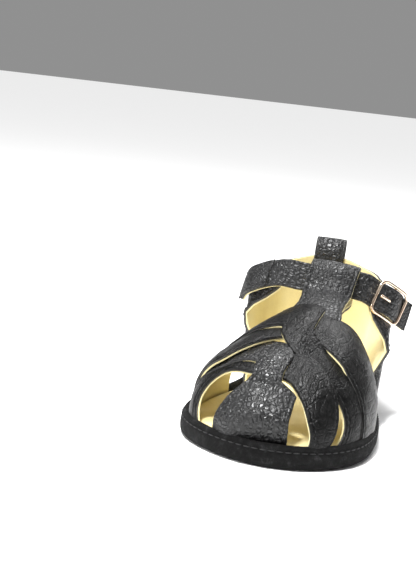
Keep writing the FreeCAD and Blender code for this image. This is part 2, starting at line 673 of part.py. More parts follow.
CORNER = 2.6
wire_radius = size("frame_wire") / 2
reach_u = size("frame_length") / 2 - wire_radius
reach_v = size("frame_width") / 2 - wire_radius
MIDDLE_BAR_DROP = 0.8
frame_bars = []
for sign in (-1, 1):
    frame_bars.append(bound_cylinder("end_bar", "sizes.frame_wire / 2",
                                     "sizes.frame_width - sizes.frame_wire - %g" % (2 * CORNER),
                                     Vector(sign * reach_u, CORNER - reach_v, 0), Vector(0, 1, 0)))
    frame_bars.append(bound_cylinder("side_rail", "sizes.frame_wire / 2",
                                     "sizes.frame_length - sizes.frame_wire - %g" % (2 * CORNER),
                                     Vector(CORNER - reach_u, sign * reach_v, 0), Vector(1, 0, 0)))
frame_bars.append(bound_cylinder("middle_bar", "sizes.frame_wire / 2", "sizes.frame_width - sizes.frame_wire",
                                 Vector(0, -reach_v, -MIDDLE_BAR_DROP), Vector(0, 1, 0)))
for quarter_turn, (side_u, side_v) in enumerate(((1, 1), (-1, 1), (-1, -1), (1, -1))):
    bend = doc.addObject("Part::Torus", "frame_corner")
    bend.Radius1 = CORNER
    bend.setExpression("Radius2", "sizes.frame_wire / 2")
    bend.Angle3 = 90
    centre = Vector(side_u * (reach_u - CORNER), side_v * (reach_v - CORNER), 0)
    spin = FreeCAD.Rotation(Vector(0, 0, 1), 90.0 * quarter_turn)
    bend.Placement = BUCKLE_PLACE.multiply(FreeCAD.Placement(centre, spin))
    frame_bars.append(bend)
frame_fuse = doc.addObject("Part::MultiFuse", "buckle_frame")
frame_fuse.Label = "buckle_frame"
frame_fuse.Shapes = frame_bars
parts.append(frame_fuse)

# Prong: an eye round the middle bar and an arm that lies on the strap, pointing to the instep.
EYE_GAP, EYE_WALL, EYE_WIDTH = 0.05, 0.5, 1.5
eye_outer = doc.addObject("Part::Cylinder", "prong_eye")
eye_outer.setExpression("Radius", "sizes.frame_wire / 2 + %g" % EYE_WALL)
eye_outer.Height = EYE_WIDTH
eye_bore = doc.addObject("Part::Cylinder", "prong_bore")
eye_bore.setExpression("Radius", "sizes.frame_wire / 2 + %g" % EYE_GAP)
eye_bore.Height = 2 * EYE_WIDTH
for cylinder in (eye_outer, eye_bore):
    base = Vector(0, -cylinder.Height.Value / 2, -MIDDLE_BAR_DROP)
    cylinder.Placement = BUCKLE_PLACE.multiply(
        FreeCAD.Placement(base, FreeCAD.Rotation(Vector(0, 0, 1), Vector(0, 1, 0))))
PRONG_ARM = [(-0.45, 0.05), (-2.1, 1.95), (-5.7, 1.15)]
arm_pieces = [eye_outer]
for one, two in zip(PRONG_ARM, PRONG_ARM[1:]):
    start, end = Vector(one[0], 0, one[1]), Vector(two[0], 0, two[1])
    arm = doc.addObject("Part::Cylinder", "prong_arm")
    arm.setExpression("Radius", "sizes.prong_wire / 2")
    arm.Height = (end - start).Length
    arm.Placement = BUCKLE_PLACE.multiply(
        FreeCAD.Placement(start, FreeCAD.Rotation(Vector(0, 0, 1), end - start)))
    arm_pieces.append(arm)
    knuckle = doc.addObject("Part::Sphere", "prong_end")
    knuckle.setExpression("Radius", "sizes.prong_wire / 2")
    knuckle.Placement = BUCKLE_PLACE.multiply(FreeCAD.Placement(end, FreeCAD.Rotation()))
    arm_pieces.append(knuckle)
prong_body = doc.addObject("Part::MultiFuse", "prong_whole")
prong_body.Shapes = arm_pieces
prong = doc.addObject("Part::Cut", "buckle_prong")
prong.Label = "buckle_prong"
prong.Base = prong_body
prong.Tool = eye_bore
parts.append(prong)
doc.recompute()

for item in list(doc.Objects):
    if "Invalid" in item.State or "Error" in item.State:
        raise RuntimeError("%s failed" % item.Name)
doc.recompute()
for item in parts:
    shape = item.Shape
    if shape.isNull() or not shape.isValid():
        raise RuntimeError("%s has no valid shape" % item.Label)
    shape.exportStep("parts/%s.step" % item.Label)
    print(item.Label, round(shape.Volume, 1), len(shape.Solids), shape.BoundBox)
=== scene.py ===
"""Looks of the infant woven-vamp sandal, left shoe.

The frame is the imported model's: metres, +Z up, toe towards -Y, outer (buckle) side at +X.
Shapes are worked out in millimetres and written to the meshes in metres.
"""

import bisect
import math

import bmesh
import bpy
import numpy as np
from mathutils import Matrix, Vector, noise


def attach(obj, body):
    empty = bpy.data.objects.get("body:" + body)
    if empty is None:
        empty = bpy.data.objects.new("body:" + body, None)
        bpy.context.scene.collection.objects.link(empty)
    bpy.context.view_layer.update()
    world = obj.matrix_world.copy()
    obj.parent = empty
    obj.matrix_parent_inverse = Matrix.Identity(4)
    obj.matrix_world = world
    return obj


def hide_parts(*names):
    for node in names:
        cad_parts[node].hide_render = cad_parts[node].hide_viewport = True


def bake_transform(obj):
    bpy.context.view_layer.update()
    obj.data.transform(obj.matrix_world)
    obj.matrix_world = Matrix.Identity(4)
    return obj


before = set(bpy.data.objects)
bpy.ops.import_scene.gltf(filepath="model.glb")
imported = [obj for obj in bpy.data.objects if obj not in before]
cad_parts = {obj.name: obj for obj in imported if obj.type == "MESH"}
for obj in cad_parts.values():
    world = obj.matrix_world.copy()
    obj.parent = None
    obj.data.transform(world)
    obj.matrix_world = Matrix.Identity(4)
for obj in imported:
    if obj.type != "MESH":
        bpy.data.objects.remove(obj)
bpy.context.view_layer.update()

MM = 0.001
UPPER, FLAP, PRONG = "upper_and_sole", "strap_flap", "prong"

# ---- sizes, in millimetres
HEEL_Y = 60.0
BINDING_HEIGHT, BINDING_WALL = 7.4, 2.4
UPPER_FOOT_Z, FORM_BASE_Z = 4.2, 6.2
PLY = 1.35
LINING = (0.0, 0.62)
LEATHER = (0.60, 1.62)
FORM_INSET = BINDING_WALL + PLY + 0.35
QUARTER_INSET = BINDING_WALL + PLY + 0.3
HEEL_HEIGHT = 48.5
QUARTER_FRONT_Y = -13.0
STRAP_HALF = 5.1
# How far a strap's inner face stands off the form where it crosses one or two others.
UNDER, SHINGLE, TWICE = 1.75, 2.3, 3.5
STITCH_IN = 1.3


# ---- smooth curves
class Curve:
    """Smooth value on a curve through (place, value) knots."""

    def __init__(self, knots):
        self.places = [place for place, _value in knots]
        self.values = [value for _place, value in knots]
        steps = [b - a for a, b in zip(self.places, self.places[1:])]
        slopes = [(b - a) / s for a, b, s in zip(self.values, self.values[1:], steps)]
        inner = [2 * p * q / (p + q) if p * q > 0 else 0.0 for p, q in zip(slopes, slopes[1:])]
        self.slopes = [slopes[0]] + inner + [slopes[-1]]

    def __call__(self, place):
        if place <= self.places[0]:
            return self.values[0]
        if place >= self.places[-1]:
            return self.values[-1]
        i = bisect.bisect_right(self.places, place) - 1
        step = self.places[i + 1] - self.places[i]
        f = (place - self.places[i]) / step
        return (self.values[i] * (2 * f**3 - 3 * f**2 + 1) + self.slopes[i] * step * (f**3 - 2 * f**2 + f)
                + self.values[i + 1] * (3 * f**2 - 2 * f**3) + self.slopes[i + 1] * step * (f**3 - f**2))


def smooth_path(points, steps=6):
    """Catmull-Rom run through a few given points."""
    run = []
    last = len(points) - 1
    for k in range(last):
        a, b, c, d = points[max(k - 1, 0)], points[k], points[k + 1], points[min(k + 2, last)]
        for n in range(steps):
            f = n / steps
            run.append(b * (1.5 * f**3 - 2.5 * f**2 + 1) + c * (2 * f**2 - 1.5 * f**3 + 0.5 * f)
                       + a * (f**2 - 0.5 * f**3 - 0.5 * f) + d * (0.5 * f**3 - 0.5 * f**2))
    run.append(points[last])
    return run


def spread(values, steps):
    """Values between the given ones, to match a smoothed path."""
    run = []
    for one, two in zip(values, values[1:]):
        run += [one + (two - one) * n / steps for n in range(steps)]
    return run + [values[-1]]


# ---- foot form
# Sole outline, (place along, half-width) on each side of the middle line.
HEEL_END = [(45.0, 19.6), (52.5, 17.0), (56.5, 12.6), (59.1, 6.7), (60.0, 0.0)]
INNER_SIDE = [(-58.5, 4.0), (-57.4, 10.8), (-54.5, 17.8), (-50.0, 24.4), (-43.0, 30.5), (-34.0, 33.9),
              (-22.0, 33.8), (-8.0, 30.0), (12.0, 23.7), (32.0, 22.6)] + HEEL_END
OUTER_SIDE = [(-58.5, -4.0), (-57.6, 5.0), (-55.0, 12.0), (-50.5, 18.5), (-43.0, 24.6), (-34.0, 28.0),
              (-22.0, 29.6), (-8.0, 29.2), (12.0, 26.6), (32.0, 24.0)] + HEEL_END
inner_side, outer_side = Curve(INNER_SIDE), Curve(OUTER_SIDE)
crest = Curve([(-58.5, 6.5), (-56.5, 11.0), (-54.0, 14.6), (-50.0, 18.4), (-45.0, 22.4), (-40.0, 25.4),
               (-33.0, 28.8), (-24.0, 32.6), (-15.0, 35.8), (-7.0, 37.6), (3.0, 40.2), (12.0, 41.5)])
ridge_x = Curve([(-58.5, -4.0), (-40.0, -2.5), (-20.0, 1.5), (0.0, 3.5), (12.0, 4.2)])
inner_full = Curve([(-58.5, 2.4), (-42.0, 2.3), (-32.0, 2.0), (-22.0, 1.75), (-10.0, 1.55), (12.0, 1.5)])
outer_full = Curve([(-58.5, 2.4), (-42.0, 2.4), (-22.0, 2.1), (-10.0, 1.9), (12.0, 1.8)])
TOE_Y = -58.5


def half_section(y, side):
    """Ridge place, half-width and fullness of the form's section on one side."""
    ridge = ridge_x(y)
    if side < 0:
        return ridge, ridge + inner_side(y) - FORM_INSET, inner_full(y)
    return ridge, outer_side(y) - FORM_INSET - ridge, outer_full(y)


def form_point(y, angle):
    """Point of the foot form: angle 0 is the outer foot, 90 the crest, 180 the inner foot."""
    side = -1 if angle > 90 else 1
    ridge, half, full = half_section(y, side)
    turn = math.radians(angle)
    across = abs(math.cos(turn)) ** (2.0 / full)
    return Vector((ridge + side * half * across, y, FORM_BASE_Z + (crest(y) - FORM_BASE_Z) * math.sin(turn)))


def form_angle(x, y):
    """Angle of the form point above plan place (x, y)."""
    side = -1 if x < ridge_x(y) else 1
    ridge, half, full = half_section(y, side)
    across = min(abs(x - ridge) / half, 1.0) ** (full / 2.0)
    return math.degrees(math.acos(across * side))


def form_normal(y, angle):
    """Outward direction of the form at one place."""
    reach = 0.6
    around = form_point(y, min(angle + 2.0, 179.5)) - form_point(y, max(angle - 2.0, 0.5))
    along = form_point(y + reach, angle) - form_point(max(y - reach, TOE_Y), angle)
    return along.cross(around).normalized()


# ---- materials
class Shader:
    """A node material being put together round one principled shader."""

    def __init__(self, name, colour, roughness, **settings):
        self.material = bpy.data.materials.new(name)
        self.material.use_nodes = True
        self.tree = self.material.node_tree
        self.base = self.tree.nodes["Principled BSDF"]
        self.base.inputs["Base Color"].default_value = (*colour, 1.0)
        self.base.inputs["Roughness"].default_value = roughness
        for socket, value in settings.items():
            self.base.inputs[socket.replace("_", " ")].default_value = value
        self.place = self.add("ShaderNodeTexCoord")

    def add(self, kind, inputs=(), **settings):
        """A new node's outputs; each of its inputs is given a value or another node's output."""
        node = self.tree.nodes.new(kind)
        for key, value in settings.items():
            setattr(node, key, value)
        for socket, value in dict(inputs).items():
            if isinstance(value, bpy.types.NodeSocket):
                self.link(value, node.inputs[socket])
            else:
                node.inputs[socket].default_value = value
        return node.outputs

    def link(self, out, into):
        self.tree.links.new(out, into)

    def mapped(self, source="Object", scale=(1.0, 1.0, 1.0), turn=(0.0, 0.0, 0.0)):
        """Coordinates: in metres for Object, in millimetres along the sheet for UV."""
        inputs = {"Vector": self.place[source], "Scale": scale, "Rotation": turn}
        return self.add("ShaderNodeMapping", inputs)["Vector"]

    def noise(self, vector, scale, detail=3.0, roughness=0.55):
        inputs = {"Vector": vector, "Scale": scale, "Detail": detail, "Roughness": roughness}
        return self.add("ShaderNodeTexNoise", inputs)["Fac"]

    def cells(self, vector, scale, feature="DISTANCE_TO_EDGE"):
        inputs = {"Vector": vector, "Scale": scale}
        return self.add("ShaderNodeTexVoronoi", inputs, feature=feature)["Distance"]

    def wave(self, vector, scale, direction="DIAGONAL", distortion=0.0):
        inputs = {"Vector": vector, "Scale": scale, "Distortion": distortion}
        return self.add("ShaderNodeTexWave", inputs, wave_type="BANDS", bands_direction=direction)["Fac"]

    def remap(self, value, low, high, to_low=0.0, to_high=1.0):
        inputs = {"Value": value, "From Min": low, "From Max": high, "To Min": to_low, "To Max": to_high}
        return self.add("ShaderNodeMapRange", inputs, interpolation_type="SMOOTHSTEP")["Result"]

    def maths(self, operation, one, two):
        return self.add("ShaderNodeMath", {0: one, 1: two}, operation=operation)["Value"]

    def mix(self, *parts):
        """Sum of (value, weight) pairs."""
        total = None
        for value, weight in parts:
            part = self.maths("MULTIPLY", value, weight)
            total = self.maths("ADD", total, part) if total else part
        return total

    def warped(self, vector, scale, amount):
        """Coordinates pushed about by a soft noise, so that cells don't look regular."""
        shift = self.add("ShaderNodeTexNoise", {"Vector": vector, "Scale": scale})["Color"]
        push = self.add("ShaderNodeVectorMath", {0: shift, "Scale": amount}, operation="SCALE")["Vector"]
        return self.add("ShaderNodeVectorMath", {0: vector, 1: push}, operation="ADD")["Vector"]

    def grain(self, cells, gap, warp, amount, scale=(1.0, 1.0, 1.0), turn=0.0):
        """Raised grains parted by narrow creases, which may be stretched one way."""
        place = self.warped(self.mapped("Object", scale, (0.0, 0.0, turn)), warp, amount)
        return self.remap(self.cells(place, cells), 0.0, gap)

    def colours(self, value, stops):
        """Base colour along a ramp of (place, colour) stops."""
        self.link(self.add("ShaderNodeValToRGB", {"Fac": value})["Color"], self.base.inputs["Base Color"])
        ramp = self.tree.nodes[-1].color_ramp
        while len(ramp.elements) < len(stops):
            ramp.elements.new(0.5)
        for element, (where, colour) in zip(ramp.elements, stops):
            element.position = where
            element.color = (*colour, 1.0)

    def rough(self, value):
        self.link(value, self.base.inputs["Roughness"])

    def bump(self, height, distance, strength=1.0):
        inputs = {"Height": height, "Distance": distance, "Strength": strength}
        self.link(self.add("ShaderNodeBump", inputs)["Normal"], self.base.inputs["Normal"])


def pebbled_leather():
    """Black leather: pebbles about a millimetre wide, longer creases, painted shade in the crevices and
    painted highlights on the high spots.
    """
    s = Shader("black_pebbled_leather", (0.02, 0.02, 0.021), 0.4, Specular_IOR_Level=0.42)
    pebble = s.grain(640.0, 0.26, warp=260.0, amount=0.0016)
    crease = s.grain(330.0, 0.14, warp=150.0, amount=0.004, scale=(1.0, 0.42, 0.9), turn=0.7)
    fine = s.noise(s.mapped(), scale=3200.0, detail=2.0)
    height = s.mix((pebble, 0.72), (crease, 0.24), (fine, 0.10))
    s.bump(height, distance=0.00030, strength=0.85)
    # Colour follows the grain's height: the crevices get painted shade and the pebble tops get painted
    # highlights.
    painted_crease_shade, skin, painted_highlight = (0.003, 0.003, 0.003), (0.009, 0.009, 0.0094), (0.020, 0.020, 0.021)
    s.colours(height, [(0.15, painted_crease_shade), (0.65, skin), (1.0, painted_highlight)])
    shine = s.remap(s.noise(s.mapped(), scale=95.0), low=0.3, high=0.7, to_low=0.24, to_high=0.38)
    dull_crevice = s.maths("MULTIPLY", s.maths("SUBTRACT", 1.0, pebble), 0.16)
    s.rough(s.maths("ADD", shine, dull_crevice))
    return s.material


def smooth_leather():
    """The same leather where it is stretched over a crossing: finer grain with long creases."""
    s = Shader("black_stretched_leather", (0.02, 0.02, 0.02), 0.42, Specular_IOR_Level=0.18)
    crease = s.grain(420.0, 0.16, warp=130.0, amount=0.005, scale=(1.0, 0.30, 0.8), turn=-0.5)
    pebble = s.grain(1100.0, 0.3, warp=300.0, amount=0.0014)
    fine = s.noise(s.mapped(), scale=3600.0, detail=2.0)
    height = s.mix((crease, 0.45), (pebble, 0.35), (fine, 0.12))
    s.bump(height, distance=0.00024, strength=0.8)
    # Colour follows the grain's height: painted shade in the creases, painted highlights on the raised grain.
    painted_crease_shade, skin, painted_highlight = (0.002, 0.002, 0.002), (0.006, 0.006, 0.006), (0.011, 0.0105, 0.0105)
    s.colours(height, [(0.1, painted_crease_shade), (0.6, skin), (0.9, painted_highlight)])
    s.rough(s.remap(s.noise(s.mapped(), scale=120.0), low=0.3, high=0.7, to_low=0.28, to_high=0.46))
    return s.material


def cut_edge():
    """Raw cut edge of the leather: dark grey, matt and fibrous."""
    s = Shader("leather_cut_edge", (0.045, 0.043, 0.042), 0.8)
    fibre = s.noise(s.mapped(), scale=2600.0, detail=4.0, roughness=0.7)
    s.colours(fibre, [(0.3, (0.025, 0.024, 0.023)), (0.7, (0.100, 0.097, 0.092))])
    s.bump(fibre, distance=0.00015)
    return s.material


def cream_textile(name, light, dark, pitch):
    """Soft brushed lining cloth with a faint weave and slightly darker, more ochre patches in the cloth's
    colour in shade: painted shade laid at random.
    """
    s = Shader(name, light, 0.85, Sheen_Weight=0.25, Sheen_Roughness=0.5)
    place = s.mapped()
    weft = s.wave(s.mapped("UV"), pitch, "X", distortion=0.6)
    warp = s.wave(s.mapped("UV"), pitch, "Y", distortion=0.6)
    weave = s.maths("MULTIPLY", weft, warp)
    fluff = s.noise(place, scale=1900.0, detail=4.0, roughness=0.7)
    patches = s.noise(place, scale=70.0, detail=4.0)
    # The dark stop is the cloth as it looks in shade, mixed in by random patches: painted shade.
    s.colours(s.mix((patches, 0.6), (fluff, 0.4)), [(0.3, dark), (0.62, light)])
    s.bump(s.maths("ADD", s.maths("MULTIPLY", weave, 0.5), fluff), distance=0.00012, strength=0.7)
    return s.material


def twill():
    """Black twill tape: fine diagonal ribs with painted shade in the hollows and a painted highlight on the
    rib tops, lighter where threads are worn.
    """
    s = Shader("black_twill", (0.012, 0.012, 0.012), 0.82, Specular_IOR_Level=0.12, Sheen_Weight=0.02,
               Sheen_Roughness=0.45)
    ribs = s.wave(s.mapped("UV"), scale=4.6, distortion=0.5)
    cross = s.wave(s.mapped("UV", scale=(1.0, -1.0, 1.0)), scale=3.1, distortion=0.8)
    wear = s.noise(s.mapped(), scale=420.0, detail=5.0, roughness=0.7)
    height = s.mix((ribs, 0.7), (cross, 0.25))
    # Colour follows the ribs' height: painted shade in the hollows, a painted highlight on the rib tops,
    # brighter still where the wear noise marks worn threads.
    speck = s.maths("MULTIPLY", s.maths("ADD", height, 0.25), s.remap(wear, low=0.35, high=0.75))
    painted_hollow_shade, cloth, painted_highlight = (0.004, 0.004, 0.004), (0.011, 0.011, 0.0112), (0.060, 0.060, 0.061)
    s.colours(speck, [(0.05, painted_hollow_shade), (0.5, cloth), (1.0, painted_highlight)])
    s.bump(s.maths("ADD", height, s.maths("MULTIPLY", wear, 0.5)), distance=0.00016, strength=0.9)
    return s.material


def thread():
    """Black polyester thread with a slight lustre."""
    s = Shader("black_thread", (0.012, 0.012, 0.013), 0.42)
    twist = s.wave(s.mapped(), scale=2600.0)
    s.colours(twist, [(0.2, (0.004, 0.004, 0.004)), (0.9, (0.018, 0.018, 0.019))])
    s.bump(twist, distance=0.00005)
    return s.material


def pale_gold():
    """Polished pale gold plate, with hairline scratches and softer patches."""
    s = Shader("pale_gold_metal", (0.93, 0.80, 0.66), 0.16, Metallic=1.0)
    place = s.mapped()
    scratch = s.noise(s.mapped("Object", scale=(1.0, 6.0, 1.0), turn=(0.3, 0.4, 0.9)), scale=1500.0)
    s.rough(s.remap(s.noise(place, scale=300.0), low=0.3, high=0.7, to_low=0.10, to_high=0.24))
    s.colours(s.noise(place, scale=180.0), [(0.35, (0.80, 0.58, 0.44)), (0.65, (0.88, 0.74, 0.58))])
    s.bump(scratch, distance=0.00002, strength=0.5)
    return s.material


def rubber_sole():
    """Thin dark sole with rows of fine raised dots."""
    s = Shader("dark_grip_sole", (0.03, 0.03, 0.03), 0.7)
    place = s.mapped("Object", scale=(1.0, 1.0, 0.0))
    dots = s.remap(s.cells(place, 420.0, "F1"), low=0.25, high=0.42, to_low=1.0, to_high=0.0)
    s.bump(dots, distance=0.0004)
    s.colours(s.noise(place, scale=240.0), [(0.3, (0.020, 0.020, 0.020)), (0.7, (0.045, 0.045, 0.044))])
    return s.material


def soft_foam():
    """Open pale foam with small pores."""
    s = Shader("pale_foam", (0.72, 0.66, 0.55), 0.9)
    pores = s.remap(s.cells(s.mapped(), 1400.0, "F1"), low=0.1, high=0.5)
    s.bump(pores, distance=0.0002)
    s.colours(pores, [(0.1, (0.50, 0.45, 0.36)), (0.8, (0.76, 0.70, 0.58))])
    return s.material


def fastener_tape(name, scale, depth):
    """Hook or loop tape: a dense black pile."""
    s = Shader(name, (0.015, 0.015, 0.015), 0.85)
    pile = s.remap(s.cells(s.mapped(), scale, "F1"), low=0.1, high=0.6, to_low=1.0, to_high=0.0)
    s.bump(pile, depth)
    s.colours(pile, [(0.2, (0.006, 0.006, 0.006)), (0.9, (0.045, 0.045, 0.045))])
    return s.material


LEATHER_SKIN = pebbled_leather()
STRETCHED_SKIN = smooth_leather()
CUT_EDGE = cut_edge()
# Each cloth: its lit colour, then its colour in shade that is painted in at random patches, then the weave
# pitch.
LINING_CLOTH = cream_textile("cream_lining_cloth", (0.84, 0.75, 0.42), (0.68, 0.57, 0.28), pitch=1.3)
FOOTBED_CLOTH = cream_textile("cream_footbed_cloth", (0.80, 0.70, 0.38), (0.64, 0.53, 0.25), pitch=1.0)
TWILL = twill()
THREAD = thread()
GOLD = pale_gold()
SOLE_RUBBER = rubber_sole()
FOAM = soft_foam()
HOOK_TAPE = fastener_tape("black_hook_tape", scale=1500.0, depth=0.0003)
LOOP_TAPE = fastener_tape("black_loop_tape", scale=2300.0, depth=0.0002)


# ---- meshes
show = bpy.context.scene.collection.objects.link


def stands_for(thing, slot, body, *nodes):
    """Hang a piece on the body it rides on and hide the CAD nodes it is drawn for; slot is not used."""
    if nodes:
        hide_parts(*nodes)
    if body:
        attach(thing, body)


def make_object(name, vertices, faces, materials, indices=None, uvs=None):
    """A mesh object from millimetre points; uvs are per vertex, in millimetres."""
    mesh = bpy.data.meshes.new(name)
    mesh.from_pydata([tuple(p * MM) for p in vertices], [], faces)
    for material in materials:
        mesh.materials.append(material)
    if indices is not None:
        mesh.polygons.foreach_set("material_index", indices)
    if uvs is not None:
        layer = mesh.uv_layers.new(name="UVMap")
        for loop in mesh.loops:
            layer.data[loop.index].uv = uvs[loop.vertex_index]
    mesh.polygons.foreach_set("use_smooth", [True] * len(mesh.polygons))
    shell = bmesh.new()
    shell.from_mesh(mesh)
    bmesh.ops.recalc_face_normals(shell, faces=shell.faces)
    shell.to_mesh(mesh)
    shell.free()
    mesh.validate()
    mesh.update()
    thing = bpy.data.objects.new(name, mesh)
    show(thing)
    return thing


def row_point(row, share):
    """Point at a share of a row of points."""
    k = min(int(share * (len(row) - 1)), len(row) - 2)
    f = share * (len(row) - 1) - k
    return row[k] + (row[k + 1] - row[k]) * f


# Distances in from each edge of a sheet at which its cross-section has points.
EDGE_STEPS = (0.0, 0.10, 0.28, 0.62, 0.95, 1.15, STITCH_IN, 1.45, 1.7, 2.2)
MIDDLE_COLUMNS = 9


def column_shares(width):
    """Shares across a row: close together near both edges, where the shape changes."""
    squeeze = min(1.0, 0.42 * width / EDGE_STEPS[-1])
    near = [d * squeeze / width for d in EDGE_STEPS]
    middle = [near[-1] + (1 - 2 * near[-1]) * k / (MIDDLE_COLUMNS + 1) for k in range(1, MIDDLE_COLUMNS + 1)]
    return near + middle + [1 - n for n in reversed(near)]


def running(points):
    """Distance run along a line at each of its points."""
    run = [0.0]
    for one, two in zip(points, points[1:]):
        run.append(run[-1] + (two - one).length)
    return run


def row_runs(rows):
    """Distance run along the middle of the rows."""
    return running([row[len(row) // 2] for row in rows])


def circle(centre, one, two, radius, around):
    """Points round a circle in the plane of two directions."""
    turns = [2.0 * math.pi * a / around for a in range(around)]
    return [centre + one * (radius * math.cos(turn)) + two * (radius * math.sin(turn)) for turn in turns]


def ring_faces(count, around, start=0, closed=False):
    """Faces between rings of points, and over both ends of an open run."""
    faces = []
    for k in range(count if closed else count - 1):
        near, far = start + k * around, start + (k + 1) % count * around
        faces += [(near + a, near + (a + 1) % around, far + (a + 1) % around, far + a) for a in range(around)]
    if not closed:
        last = start + (count - 1) * around
        faces += [tuple(start + a for a in reversed(range(around))), tuple(last + a for a in range(around))]
    return faces


def wrinkle_at(point, size):
    """A soft unevenness of cloth or leather, about 1 high."""
    return noise.noise(point / size) + 0.5 * noise.noise(point / (0.45 * size) + Vector((7.0, 3.0, 1.0)))


NO_EDGE = 99.0
CROWN_RUN, GROOVE_WIDTH, WRINKLE_SIZE, WRINKLE_RUN = 3.0, 0.32, 6.0, 2.0
# How much of the upper face's rounding and rise the lower face follows.
UNDER_DROP, UNDER_RISE = 0.5, 0.6


def sheet(name, rows, normals, ply, materials, crown=0.0, groove=0.0, ends=(False, False), seams=(),
          wrinkle=0.0, rounding=0.42, grooves=(True, True)):
    """A cut sheet with thickness, rounded edges, a stitch groove along its sides and soft wrinkles."""
    low, high = ply
    vertices, uvs = [], []
    runs = row_runs(rows)
    for run, row, outward in zip(runs, rows, normals):
        width = running(row)[-1]
        shares = column_shares(width)
        from_ends = [run if ends[0] else NO_EDGE, runs[-1] - run if ends[1] else NO_EDGE]
        over, under = [], []
        for share in shares:
            here, out = row_point(row, share), row_point(outward, share).normalized()
            sides = (share * width, (1 - share) * width)
            edge = min(*sides, *from_ends)
            inward = max(1.0 - edge / rounding, 0.0)
            drop = rounding * (1.0 - math.sqrt(max(1.0 - inward * inward, 0.0)))
            rise = crown * (1.0 - (2 * share - 1) ** 2) * min(min(from_ends) / CROWN_RUN, 1.0)
            lines = [d for d, wanted in zip(sides, grooves) if wanted] + from_ends
            lines += [STITCH_IN + abs(run - seam) for seam in seams]
            dent = groove * max(math.exp(-((d - STITCH_IN) / GROOVE_WIDTH) ** 2) for d in lines)
            wave = wrinkle * wrinkle_at(here, WRINKLE_SIZE) * min(edge / WRINKLE_RUN, 1.0)
            over.append(here + out * (high - drop + rise - dent + wave))
            under.append(here + out * (low + UNDER_DROP * drop + UNDER_RISE * rise + UNDER_RISE * wave))
            uvs.append((run, share * width))
        vertices += over + under[::-1]
        uvs += [uvs[-1 - k] for k in range(len(under))]
    wide, around = len(shares), 2 * len(shares)
    faces = ring_faces(len(rows), around)[:-2]
    indices = [int(k in (wide - 1, around - 1)) for k in range(around)] * (len(rows) - 1)
    last = (len(rows) - 1) * around
    for k in range(wide - 1):
        faces.append((around - 1 - k, around - 2 - k, k + 1, k))
        faces.append((last + k, last + k + 1, last + around - 2 - k, last + around - 1 - k))
        indices += [1, 1]
    return make_object(name, vertices, faces, materials, indices, uvs)


def rail_on(rows, normals, distance, height, from_far=False):
    """A line along a sheet at a distance in from one side, with its outward directions."""
    points, outs = [], []
    for row, outward in zip(rows, normals):
        width = running(row)[-1]
        share = min(distance / width, 0.5)
        share = 1 - share if from_far else share
        out = row_point(outward, share).normalized()
        points.append(row_point(row, share) + out * height)
        outs.append(out)
    return points, outs


THREAD_HEIGHT = LEATHER[1] - 0.02


def edge_lines(rows, normals, height=THREAD_HEIGHT):
    """Stitch lines along both sides of a sheet."""
    return [rail_on(rows, normals, STITCH_IN, height, far) for far in (False, True)]


def row_line(row, outward, height=THREAD_HEIGHT):
    """A stitch line along one row of a sheet."""
    return [p + d * height for p, d in zip(row, outward)], outward


STITCH_RINGS, STITCH_AROUND = 5, 6
STITCH_TAPER, STITCH_DIP = 0.93, 0.35


def stitches(name, lines, body, radius=0.20, pitch=2.1, length=1.55):
    """Separate thread stitches lying along lines, each a pair of points and outward directions."""
    vertices, faces = [], []
    for points, outs in lines:
        run = running(points)
        count = int(run[-1] / pitch)
        for n in range(count):
            middle = (n + 0.5) * run[-1] / count
            k = min(bisect.bisect_right(run, middle) - 1, len(run) - 2)
            f = (middle - run[k]) / max(run[k + 1] - run[k], 1e-6)
            centre = points[k] + (points[k + 1] - points[k]) * f
            out = (outs[k] + (outs[k + 1] - outs[k]) * f).normalized()
            along = (points[k + 1] - points[k]).normalized()
            side = out.cross(along).normalized()
            faces += ring_faces(STITCH_RINGS, STITCH_AROUND, len(vertices))
            for ring in range(STITCH_RINGS):
                t = -1.0 + 2.0 * ring / (STITCH_RINGS - 1)
                thick = radius * math.sqrt(max(1.0 - (STITCH_TAPER * t) ** 2, 0.0))
                spot = centre + along * (t * length / 2) - out * (STITCH_DIP * radius * t * t)
                vertices += circle(spot, out, side, thick, STITCH_AROUND)
    stands_for(make_object(name, vertices, faces, [THREAD]), "black_leather", body)


def two_plies(label, rows, normals, skin=LEATHER_SKIN, crown=0.35, groove=0.16, body=UPPER, nodes=(),
              ends=(False, False), **more):
    """The leather and the lining of one strap, drawn for its CAD nodes."""
    over = sheet(label + "_leather_skin", rows, normals, LEATHER, [skin, CUT_EDGE], crown=crown, groove=groove,
                 wrinkle=0.16, ends=ends, **more)
    under = sheet(label + "_lining_cloth", rows, normals, LINING, [LINING_CLOTH, LINING_CLOTH],
                  crown=0.45 * crown, rounding=0.2, wrinkle=0.09, ends=ends)
    for thing, kind, slot in ((over, "_leather", "black_leather"), (under, "_lining", "cream_lining")):
        stands_for(thing, slot, body, *[node + kind for node in nodes or [label]])
    return over, under


# ---- woven vamp
FOOT = None
FOOT_ANGLE = 2.0
ACROSS, STEPS = 25, 14


